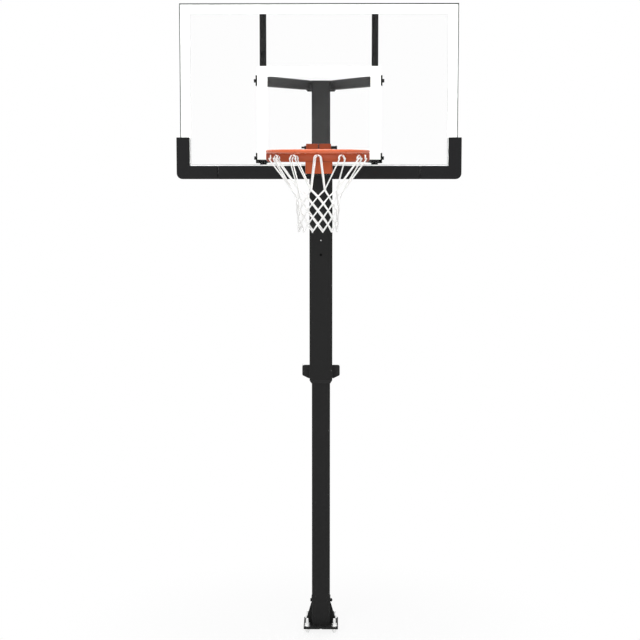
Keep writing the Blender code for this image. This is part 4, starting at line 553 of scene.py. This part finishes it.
def rounded(points, reach):  # a polyline with each inner corner turned into a short bend
    path = [points[0]]
    for before, corner, after in zip(points, points[1:], points[2:]):
        start = corner + (before - corner) * min(net["bendShare"], reach / (before - corner).length)
        end = corner + (after - corner) * min(net["bendShare"], reach / (after - corner).length)
        path += [start, corner * 0.5 + (start + end) * 0.25, end]  # the middle of a curve from start to end
    return path + [points[-1]]


def netPath(hook):  # up one leg, over the hook and down the other
    centre = hookAngle(hook)
    half = math.pi / net["hooks"]
    top = ringTube + net["hookDrop"] - net["hookWire"] - net["cordRadius"] - net["play"]
    hang = net["hangRadius"] + net["hangOut"]
    legs = []
    for side in (-1, 1):
        leg = []
        for row in range(net["rows"]):
            share = (row / (net["rows"] - 1)) ** net["narrowing"]
            radius = net["topRadius"] + (net["footRadius"] - net["topRadius"]) * share
            over = side * (1 if row % 2 else -1) * net["cordRadius"] * net["weave"]
            leg.append(onRing(centre + side * half * (row + 1), radius + over,
                              net["firstRow"] + net["rowStep"] * row))
        last = centre + side * half * net["rows"]
        down = net["firstRow"] + net["rowStep"] * (net["rows"] - 1)
        apart = side * net["footApart"] / net["footRadius"]
        leg.append(onRing(last + apart, net["footRadius"], down + net["foot"]))
        arch = [onRing(centre + side * wide / net["hangRadius"], hang, top + fall)
                for wide, fall in net["arch"]]
        legs.append(arch[:-1] + rounded([arch[-1]] + leg, net["bend"]))
    return legs[0][::-1] + [onRing(centre, hang, top)] + legs[1]


netCords = grow("netCords", lineMesh("netPaths", [netPath(k) for k in range(net["hooks"])]), tubes, {
    "Radius": net["cordRadius"], "Step": net["step"], "Sides": net["sides"], "Material": netCord})
windUv(netCords)
dress(netCords, "rim_assembly", "net_cord", "net")
print("net corded:", len(netCords.data.polygons), "faces")


# Rim: a round bar with wire hooks, the band under it and the coil springs behind the bracket

hoop = {"pathSteps": 96, "barStep": 0.006, "barSides": 20}
wire = {"radius": 0.0018, "step": 0.0012, "sides": 10, "outer": 0.0090, "width": 0.0122, "lip": 0.0015,
        "root": (0.0035, 0.0030), "leave": (0.0030, 0.0040),  # how far inwards and how far down
        "shoulder": ((0.0040, 0.0050), (0.0008, 0.0075), (0.0, 0.0110)), "bendSteps": 8}


def hookPath(hook):  # a J that leaves the bar inwards, drops and opens back towards the bar
    outer = ringRadius - wire["outer"]
    rise = wire["width"] / 2
    inner = outer - 2 * rise
    low = ringTube + net["hookDrop"]
    path = [(ringRadius - wire["root"][0], ringTube + wire["root"][1]),
            (outer - wire["leave"][0], ringTube + wire["leave"][1])]
    path += [(inner + short, ringTube + down) for short, down in wire["shoulder"]]
    path.append((inner, low - rise))
    for i in range(1, wire["bendSteps"]):
        turn = math.pi * i / wire["bendSteps"]
        path.append((inner + rise - rise * math.cos(turn), low - rise + rise * math.sin(turn)))
    path += [(outer, low - rise), (outer, low - rise - wire["lip"])]
    return [onRing(hookAngle(hook), radius, down) for radius, down in path]


def closedLine(name, points):
    mesh = bpy.data.meshes.new(name)
    count = len(points)
    mesh.from_pydata([tuple(p) for p in points], [(i, (i + 1) % count) for i in range(count)], [])
    return mesh


barPath = [onRing(2 * math.pi * i / hoop["pathSteps"], ringRadius, ringTube)
           for i in range(hoop["pathSteps"])]
rimHoop = grow("rimHoop", closedLine("barPath", barPath), tubes, {
    "Radius": ringTube, "Step": hoop["barStep"], "Sides": hoop["barSides"], "Material": hoopLitCoat})
dress(rimHoop, "rim_assembly", "orange_powder_coat", "rim_ring")
# The hooks take the band's darker coat, painted shade under the bar
netHooks = grow("netHooks", lineMesh("hookPaths", [hookPath(k) for k in range(net["hooks"])]), tubes, {
    "Radius": wire["radius"], "Step": wire["step"], "Sides": wire["sides"], "Material": bandShadedCoat})
dress(netHooks, "rim_assembly", "orange_powder_coat")

band = {"thick": 0.004, "below": 0.0485, "endRise": 0.0135, "endArc": 20.0, "overhang": 5.0, "steps": 120,
        "edge": 0.0009, "gap": 0.0003, "out": 0.0045, "sharp": 50}


def bandLow(degrees):  # how far the lower edge hangs under the bar's middle; both ends rise
    edge = min(degrees + band["overhang"], 180 + band["overhang"] - degrees)
    return ringTube + band["below"] - band["endRise"] * max(0.0, 1 - edge / band["endArc"])


def bandShape(bm):
    radius = ringRadius + band["out"]
    half, soft, top = band["thick"] / 2, band["edge"], 2 * ringTube + band["gap"]
    rings = []
    for i in range(band["steps"] + 1):
        degrees = -band["overhang"] + (180 + 2 * band["overhang"]) * i / band["steps"]
        low = bandLow(degrees)
        section = [(-half, low - soft), (soft - half, low), (half - soft, low), (half, low - soft),
                   (half, top + soft), (half - soft, top), (soft - half, top), (-half, top + soft)]
        angle = math.radians(degrees)
        rings.append([bm.verts.new(onRing(angle, radius + out, down)) for out, down in section])
    for first, second in zip(rings, rings[1:]):
        bridge(bm, first, second)
    bm.faces.new(rings[0][::-1])
    bm.faces.new(rings[-1])


rimBand = builtPiece("rimBand", bandShape, bandShadedCoat, band["sharp"])
dress(rimBand, "rim_assembly", "orange_powder_coat", "rim_brace")

spring = {"wire": 0.0015, "radius": 0.0092, "x": 0.018, "turns": 4.0, "closed": 0.8, "touching": 2.1,
          "points": 24, "squashed": 0.295, "step": 0.0012, "sides": 10}
springLow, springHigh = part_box("rim_spring_left")


def springPath(side):  # closed at both ends, open between
    middle = (springLow.z + springHigh.z) / 2
    start, end = springLow.y + spring["wire"], springHigh.y - spring["wire"]
    flat = spring["touching"] * spring["wire"] * spring["closed"]
    path = []
    count = int(spring["turns"] * spring["points"])
    for i in range(count + 1):
        turn = spring["turns"] * i / count
        inner = min(max((turn - spring["closed"]) / (spring["turns"] - 2 * spring["closed"]), 0.0), 1.0)
        ends = min(turn, spring["closed"]) + max(0.0, turn - spring["turns"] + spring["closed"])
        y = start + flat * ends / spring["closed"] + (end - start - 2 * flat) * inner
        path.append((side * spring["x"] + spring["radius"] * math.cos(2 * math.pi * turn), y,
                     middle + spring["radius"] * math.sin(2 * math.pi * turn)))
    return path


rimSprings = grow("rimSprings", lineMesh("springPaths", [springPath(-1), springPath(1)]), tubes, {
    "Radius": spring["wire"], "Step": spring["step"], "Sides": spring["sides"], "Material": springSteel})
dress(rimSprings, "upper_assembly", "steel", "rim_spring_left", "rim_spring_right")
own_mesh(rimSprings)
print("rim made")


# Edges: sheet, moulded and foam pieces get the radius that the real ones have

edges = {
    "foam": {"width": 0.0036, "segments": 5, "nodes": ["pad_corner_left", "pad_corner_right", "pad_center"]},
    "grip": {"width": 0.0026, "segments": 4, "nodes": ["handle_yoke"]},  # after gripShape's larger rounds
    "moulded": {"width": 0.0008, "segments": 2, "nodes": ["release_lever", "sleeve_bushing", "pole_cap"]},
    "sheet": {"width": 0.0006, "segments": 2, "nodes": [
        "rim_mount_plate", "rim_bracket", "base_plate", "base_bracket_left", "base_bracket_right"]},
    "bolt": {"width": 0.0004, "segments": 2, "nodes": [
        "base_cross_bolt", "sleeve_bolt_lower", "sleeve_bolt_upper", "strut_bolt", "hinge_bolt",
        "anchor_front_left", "anchor_front_right", "anchor_rear_left", "anchor_rear_right",
        "bracket_bolt_upper_left", "bracket_bolt_upper_right", "bracket_bolt_lower_left",
        "bracket_bolt_lower_right"]}}
easing = {"merge": 0.00001, "profile": 0.5, "flat": 0.5, "corner": 40, "sharp": 35}  # angles in degrees

grip = {"outer": 0.095, "alongY": 0.98, "round": 0.0105, "segments": 7, "front": 0.004, "slope": 0.125,
        "above": 1.4865, "barFront": 0.130, "barReach": 0.0645, "barMiddle": 1.457, "barShare": 0.6}


def gripShape(bm):  # the handle's ends are well rounded and its top falls to the rear
    along = [e for e in bm.edges if min(abs(v.co.x) for v in e.verts) > grip["outer"]
             and abs((e.verts[0].co - e.verts[1].co).normalized().y) > grip["alongY"] and e.is_convex]
    bmesh.ops.bevel(bm, geom=along, offset=grip["round"], offset_type="OFFSET", segments=grip["segments"],
                    profile=easing["profile"], affect="EDGES", clamp_overlap=True)
    for vert in bm.verts:
        onBar = vert.co.y > grip["barFront"] and abs(vert.co.x) < grip["barReach"]
        if vert.co.z > grip["above"]:
            vert.co.z -= grip["slope"] * max(0.0, vert.co.y - grip["front"])
        elif onBar and vert.co.z > grip["barMiddle"]:
            vert.co.z = grip["barMiddle"] + (vert.co.z - grip["barMiddle"]) * grip["barShare"]


sleeveLow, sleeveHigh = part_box("outer_sleeve")
strutLow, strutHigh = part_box("strut_bolt")
boltEnd = {"before": sleeveLow.y - 0.0001, "share": 0.42, "z": (strutLow.z + strutHigh.z) / 2}


def boltShape(bm):  # only the small end of this bolt shows in front
    for vert in bm.verts:
        if vert.co.y < boltEnd["before"]:
            vert.co.x *= boltEnd["share"]
            vert.co.z = boltEnd["z"] + (vert.co.z - boltEnd["z"]) * boltEnd["share"]


def turnedBolt(bm):  # its head shows on the right
    for vert in bm.verts:
        vert.co.x = -vert.co.x
    bmesh.ops.reverse_faces(bm, faces=bm.faces[:])


shapeOf = {"handle_yoke": gripShape, "strut_bolt": boltShape, "hinge_bolt": turnedBolt}


def eased(node, width, segments):  # the node's own shape with its outer corners rounded
    bm = bmesh.new()
    bm.from_mesh(frame["nodes"][node].data)
    bmesh.ops.remove_doubles(bm, verts=bm.verts[:], dist=easing["merge"])
    flat, steep = math.radians(easing["flat"]), math.radians(easing["corner"])
    bmesh.ops.dissolve_limit(bm, angle_limit=flat, verts=bm.verts[:], edges=bm.edges[:])
    if node in shapeOf:
        shapeOf[node](bm)
    outer = [e for e in bm.edges if len(e.link_faces) == 2 and e.is_convex and e.calc_face_angle() > steep]
    bmesh.ops.bevel(bm, geom=outer, offset=width, offset_type="OFFSET", segments=segments,
                    profile=easing["profile"], affect="EDGES", clamp_overlap=True)
    obj = meshPiece(node + "_eased", bm, coatOf[node], easing["sharp"])
    even = obj.modifiers.new("even", "WEIGHTED_NORMAL")
    even.keep_sharp = True
    return applied(obj)


for kind, values in edges.items():
    for node in values["nodes"]:
        piece = dress(eased(node, values["width"], values["segments"]), bodyOf[node], slotOf[node], node)
print("edges eased")


# Small work: threads, washers, a near-black disc painted as the spare hole's shade, and weld beads

def edgeMesh(name, lines):
    return lineMesh(name, [[Vector(a), Vector(b)] for a, b in lines])


anchors = {"pitch": 0.0023, "ridge": 0.0007, "radius": 0.0076, "nutTop": 0.0300, "under": -0.0005,
           "tip": 0.0025}
studLines = []
for node in ("anchor_front_left", "anchor_front_right", "anchor_rear_left", "anchor_rear_right"):
    low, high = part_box(node)
    x, y = (low.x + high.x) / 2, (low.y + high.y) / 2
    studLines += [((x, y, anchors["nutTop"]), (x, y, high.z - anchors["tip"])),
                  ((x, y, low.z + anchors["tip"]), (x, y, anchors["under"]))]
anchorThreads = grow("anchorThreads", edgeMesh("studLines", studLines), threads, {
    "Radius": anchors["radius"], "Pitch": anchors["pitch"], "Ridge": anchors["ridge"], "Material": zincPlate})
dress(anchorThreads, "base", "zinc")

washer = {"thick": 0.0014, "arm": 0.0112, "sleeve": 0.0112}
armEnds = [(side, level + word) for side, word in ((-1, "_left"), (1, "_right"))
           for level in ("upper", "lower")]


def washerLines(node, axis, faces):  # a short line out of each face that a washer lies on
    low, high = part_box(node)
    middle = (low + high) / 2
    lines = []
    for face, way in faces:
        start, end = middle.copy(), middle.copy()
        start[axis], end[axis] = face, face + way * washer["thick"]
        lines.append((start, end))
    return lines


armFace = {"x": 0.2856, "half": 0.0282}
armLines = []
for side, where in armEnds:
    faces = [(side * armFace["x"] - armFace["half"], -1), (side * armFace["x"] + armFace["half"], 1)]
    armLines += washerLines("bracket_bolt_" + where, 0, faces)
armWashers = grow("armWashers", edgeMesh("armWasherLines", armLines), washers, {
    "Radius": washer["arm"], "Material": blackCoat})
dress(armWashers, "upper_assembly", "black_powder_coat")
sleeveLines = []
for node in ("sleeve_bolt_lower", "sleeve_bolt_upper"):
    sleeveLines += washerLines(node, 1, [(sleeveHigh.y, 1)])
sleeveWashers = grow("sleeveWashers", edgeMesh("sleeveWasherLines", sleeveLines), washers, {
    "Radius": washer["sleeve"], "Material": blackCoat})
dress(sleeveWashers, "upper_assembly", "black_powder_coat")

# A near-black disc in front of the sleeve's spare hole: painted shade for the hole's dark inside
holeShade = {"z": 2.121, "radius": 0.0072, "proud": 0.0004, "thick": 0.0020}
holeShadeFront = sleeveLow.y - holeShade["proud"]
holeShadeDisc = grow("holeShadeDisc", edgeMesh("holeShadeDiscLine", [
    ((0.0, holeShadeFront, holeShade["z"]), (0.0, holeShadeFront + holeShade["thick"], holeShade["z"]))]), washers, {
    "Radius": holeShade["radius"], "Material": holeShadeNylon})
dress(holeShadeDisc, "upper_assembly", "black_plastic")

weld = {"rim": 0.0019, "frame": 0.0016, "base": 0.0024, "pitch": 0.0021}
rimSeam = {"runs": 14, "first": 6, "span": 168, "turns": (-0.045, -0.015, 0.015, 0.045), "sink": 0.0006,
           "rootDown": 0.0016, "rootLength": 0.0046}  # first and span in degrees, turns in radians


def beads(name, lines, size, material, body, slot):
    obj = grow(name, edgeMesh(name + "Lines", lines), welds, {
        "Size": size, "Pitch": weld["pitch"], "Material": material})
    return dress(obj, body, slot)


def stitches():  # short runs between the bar and the band, and one at each hook's root
    lines = []
    radius = ringRadius + band["out"] - band["thick"] / 2 - rimSeam["sink"]
    for run in range(rimSeam["runs"]):
        middle = math.radians(rimSeam["first"] + rimSeam["span"] * run / (rimSeam["runs"] - 1))
        arc = [onRing(middle + turn, radius, 2 * ringTube - rimSeam["sink"]) for turn in rimSeam["turns"]]
        lines += list(zip(arc, arc[1:]))
    for hook in range(net["hooks"]):
        root = onRing(hookAngle(hook), ringRadius - ringTube + rimSeam["sink"],
                      ringTube + rimSeam["rootDown"])
        lines.append((root, root + Vector((0, 0, -rimSeam["rootLength"]))))
    return lines


beads("rimWelds", stitches(), weld["rim"], orangeCoat, "rim_assembly", "orange_powder_coat")

lug = {"plateFront": -0.8953, "half": 0.0115, "faces": (0.0510, 0.0570)}
hingeLow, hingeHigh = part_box("hinge_bolt")
hingeZ, y = (hingeLow.z + hingeHigh.z) / 2, lug["plateFront"]
lugLines = [((side * x, y, hingeZ - lug["half"]), (side * x, y, hingeZ + lug["half"]))
            for side in (-1, 1) for x in lug["faces"]]
beads("lugWelds", lugLines, weld["rim"], orangeCoat, "upper_assembly", "orange_powder_coat")

channel = {"x": 0.2757, "half": 0.016, "short": 0.002, "bracketHalf": 0.0163, "sink": 0.0012, "reach": 0.022}
frameLines = []
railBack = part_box("frame_top_rail")[1].y
for node in ("frame_side_rail_left", "frame_side_rail_right", "frame_channel_left", "frame_channel_right"):
    low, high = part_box(node)
    left, right = low.x, high.x
    if "channel" in node:
        middle = -channel["x"] if low.x < 0 else channel["x"]
        left, right = middle - channel["half"], middle + channel["half"]
    for z in (low.z, high.z):
        frameLines.append(((left + channel["short"], railBack, z), (right - channel["short"], railBack, z)))
for side, where in armEnds:
    low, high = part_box("bracket_bolt_" + where)
    middle, y = (low.z + high.z) / 2, railBack - channel["sink"]
    for face in (-1, 1):
        x = side * channel["x"] + face * channel["bracketHalf"]
        frameLines.append(((x, y, middle - channel["reach"]), (x, y, middle + channel["reach"])))
beads("frameWelds", frameLines, weld["frame"], railShadedCoat, "upper_assembly", "black_powder_coat")

gusset = {"plateTop": 0.0127, "lift": 0.0006, "side": 0.0036, "inner": 0.0560, "outer": 0.0830,
          "pole": 0.0547, "poleFrom": 0.0060, "poleTo": 0.0290}
baseLines = []
seamZ = gusset["plateTop"] + gusset["lift"]
for side in (-1, 1):
    x = side * gusset["pole"]
    for face in (-1, 1):
        y = face * gusset["side"]
        baseLines.append(((side * gusset["inner"], y, seamZ), (side * gusset["outer"], y, seamZ)))
        baseLines.append(((x, face * gusset["poleFrom"], seamZ), (x, face * gusset["poleTo"], seamZ)))
beads("baseWelds", baseLines, weld["base"], blackCoat, "base", "black_powder_coat")
print("threads, washers and welds placed")


# Arms and board: nylon shims at the pole, the glass's ground edge and a thin grey line of painted shade along
# the border print's inner edge

shim = {"near": 0.0511, "thick": 0.0036, "front": -0.0450, "back": 0.0200, "half": 0.0246, "armHalf": 0.0254,
        "ease": 0.0008, "easeSteps": 2}


def armShims(bm):  # the pads that each arm's end sits against, two on either side of the pole
    size = (shim["thick"], shim["back"] - shim["front"], 2 * shim["half"])
    for side, where in armEnds:
        low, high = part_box("arm_" + where)
        centre = (side * (shim["near"] + shim["thick"] / 2), (shim["back"] + shim["front"]) / 2,
                  high.z - shim["armHalf"])
        box = bmesh.ops.create_cube(bm, size=1.0)["verts"]
        bmesh.ops.scale(bm, vec=size, verts=box)
        bmesh.ops.translate(bm, vec=centre, verts=box)
    bmesh.ops.bevel(bm, geom=bm.edges[:], offset=shim["ease"], segments=shim["easeSteps"],
                    profile=easing["profile"], affect="EDGES")


board = {"arris": 0.0035, "topArris": 0.0050, "proud": 0.0002, "edgeShadeLine": 0.0012, "border": 0.052,
         "edgeShadeProud": 0.00014, "lift": 0.00002}
glassLow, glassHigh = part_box("glass_panel")


def mitred(bm, outer, inner, front, back):  # a flat frame between two outlines, with thickness
    loops = [[bm.verts.new((x, y, z)) for x, z in outline] for outline, y in (
        (outer, front), (inner, front), (inner, back), (outer, back))]
    for first, second in zip(loops, loops[1:] + loops[:1]):
        bridge(bm, first, second)


def rectangle(left, right, low, high):
    return [(left, low), (right, low), (right, high), (left, high)]


def glassEdgeFrame(bm):  # the top's ground edge looks wider than the sides'
    side, top = board["arris"], board["topArris"]
    mitred(bm, rectangle(glassLow.x, glassHigh.x, glassLow.z, glassHigh.z),
           rectangle(glassLow.x + side, glassHigh.x - side, glassLow.z + side, glassHigh.z - top),
           glassLow.y - board["proud"], glassLow.y - board["lift"])


def printEdgeShadeFrame(bm):  # painted shade: a grey line on the glass's front, along the border print's inner edge
    front, back = glassLow.y - board["edgeShadeProud"], glassLow.y - board["lift"]
    half = board["edgeShadeLine"] / 2
    left, right = glassLow.x + board["border"], glassHigh.x - board["border"]
    low, high = glassLow.z + board["border"], glassHigh.z - board["border"]
    mitred(bm, rectangle(left - half, right + half, low - half, high + half),
           rectangle(left + half, right - half, low + half, high - half), front, back)


dress(builtPiece("armShims", armShims, blackNylon), "upper_assembly", "black_plastic")
dress(builtPiece("glassEdge", glassEdgeFrame, groundGlass), "upper_assembly", "glass")
dress(builtPiece("printEdgeShade", printEdgeShadeFrame, printEdgeShadeInk), "upper_assembly", "white_ceramic_print")
print("arm shims and board edges placed")


# Camera, light and floor

view = {"place": (0.096, -8.257, 2.6037), "tilt": 84.11, "turn": 0.705, "sensor": 36.0, "lens": 83.25,
        "far": 200.0}
camera = addObject("camera", bpy.data.cameras.new("camera"))
scene.camera = camera
camera.location = view["place"]
camera.rotation_euler = (math.radians(view["tilt"]), 0.0, math.radians(view["turn"]))
camera.data.sensor_width = view["sensor"]
camera.data.lens = view["lens"]
camera.data.clip_end = view["far"]

lights = {
    "key": {"place": (-3.6, -8.0, 4.4), "size": 3.6, "watts": 236, "aim": (0.0, -0.6, 2.0)},
    "fill": {"place": (3.7, -7.6, 2.8), "size": 3.6, "watts": 134, "aim": (0.0, -0.6, 2.0)},
    "rear": {"place": (0.5, 4.6, 6.6), "size": 4.0, "watts": 210, "aim": (0.0, -0.6, 2.0)},
    "top": {"place": (-0.1, -1.45, 5.2), "size": 1.0, "watts": 4, "aim": (0.0, -1.3, 2.6), "spread": 36}}
for name, values in lights.items():
    lamp = bpy.data.lights.new(name, "AREA")
    lamp.shape = "SQUARE"
    lamp.size = values["size"]
    lamp.energy = values["watts"]
    lamp.spread = math.radians(values.get("spread", 180))
    holder = addObject(name, lamp)
    holder.location = values["place"]
    aim = Vector(values["aim"]) - Vector(values["place"])
    holder.rotation_euler = aim.to_track_quat("-Z", "Y").to_euler()

studio = {"white": (1.0, 1.0, 1.0, 1.0), "ambient": 0.42, "backdrop": 1.0}


def seenRays(tree):  # 1 for what is seen straight, in a reflection or through the glass
    rays = addNode(tree, "ShaderNodeLightPath")
    either = addNode(tree, "ShaderNodeMath", {"operation": "MAXIMUM"}, {
        0: rays.outputs["Is Camera Ray"], 1: rays.outputs["Is Glossy Ray"]})
    seen = addNode(tree, "ShaderNodeMath", {"operation": "MAXIMUM"}, {
        0: either.outputs["Value"], 1: rays.outputs["Is Transmission Ray"]})
    return seen.outputs["Value"]


def studioWorld():  # white to look at, dimmer as a light
    world = bpy.data.worlds.new("studio")
    world.use_nodes = True
    tree = world.node_tree
    tree.nodes.clear()
    ambient = addNode(tree, "ShaderNodeBackground", links={
        "Color": studio["white"], "Strength": studio["ambient"]})
    backdrop = addNode(tree, "ShaderNodeBackground", links={
        "Color": studio["white"], "Strength": studio["backdrop"]})
    both = addNode(tree, "ShaderNodeMixShader", links={
        0: seenRays(tree), 1: ambient.outputs["Background"], 2: backdrop.outputs["Background"]})
    addNode(tree, "ShaderNodeOutputWorld", links={"Surface": both.outputs["Shader"]})
    return world


floor = {"half": 30.0, "colour": "f4f4f4", "whiteNear": 0.88, "fadeFrom": 0.3, "fadeTo": 1.6}


def paleFloor():  # a soft shadow near the foot, plain white further away
    material = bpy.data.materials.new("paleFloor")
    material.use_nodes = True
    tree = material.node_tree
    tree.nodes.clear()
    matte = addNode(tree, "ShaderNodeBsdfDiffuse", links={"Color": linear(floor["colour"])})
    white = addNode(tree, "ShaderNodeEmission", links={
        "Color": studio["white"], "Strength": studio["backdrop"]})
    where = addNode(tree, "ShaderNodeTexCoord")
    away = addNode(tree, "ShaderNodeVectorMath", {"operation": "LENGTH"}, {0: where.outputs["Object"]})
    fade = addNode(tree, "ShaderNodeMapRange", {"interpolation_type": "SMOOTHSTEP"}, {
        "Value": away.outputs["Value"], "From Min": floor["fadeFrom"], "From Max": floor["fadeTo"],
        "To Min": floor["whiteNear"], "To Max": 1.0})
    share = addNode(tree, "ShaderNodeMath", {"operation": "MULTIPLY"}, {
        0: seenRays(tree), 1: fade.outputs["Result"]})
    mix = addNode(tree, "ShaderNodeMixShader", links={
        0: share.outputs["Value"], 1: matte.outputs["BSDF"], 2: white.outputs["Emission"]})
    addNode(tree, "ShaderNodeOutputMaterial", links={"Surface": mix.outputs["Shader"]})
    return material


scene.world = studioWorld()
floorMesh = bpy.data.meshes.new("floor")
reach, level = floor["half"], cadBox[0].z
floorMesh.from_pydata([(x, y, level) for x, y in rectangle(-reach, reach, -reach, reach)], [], [(0, 1, 2, 3)])
floorMesh.materials.append(paleFloor())
floorObject = addObject("floor", floorMesh)
scene.view_settings.view_transform = "Standard"
print("studio set")
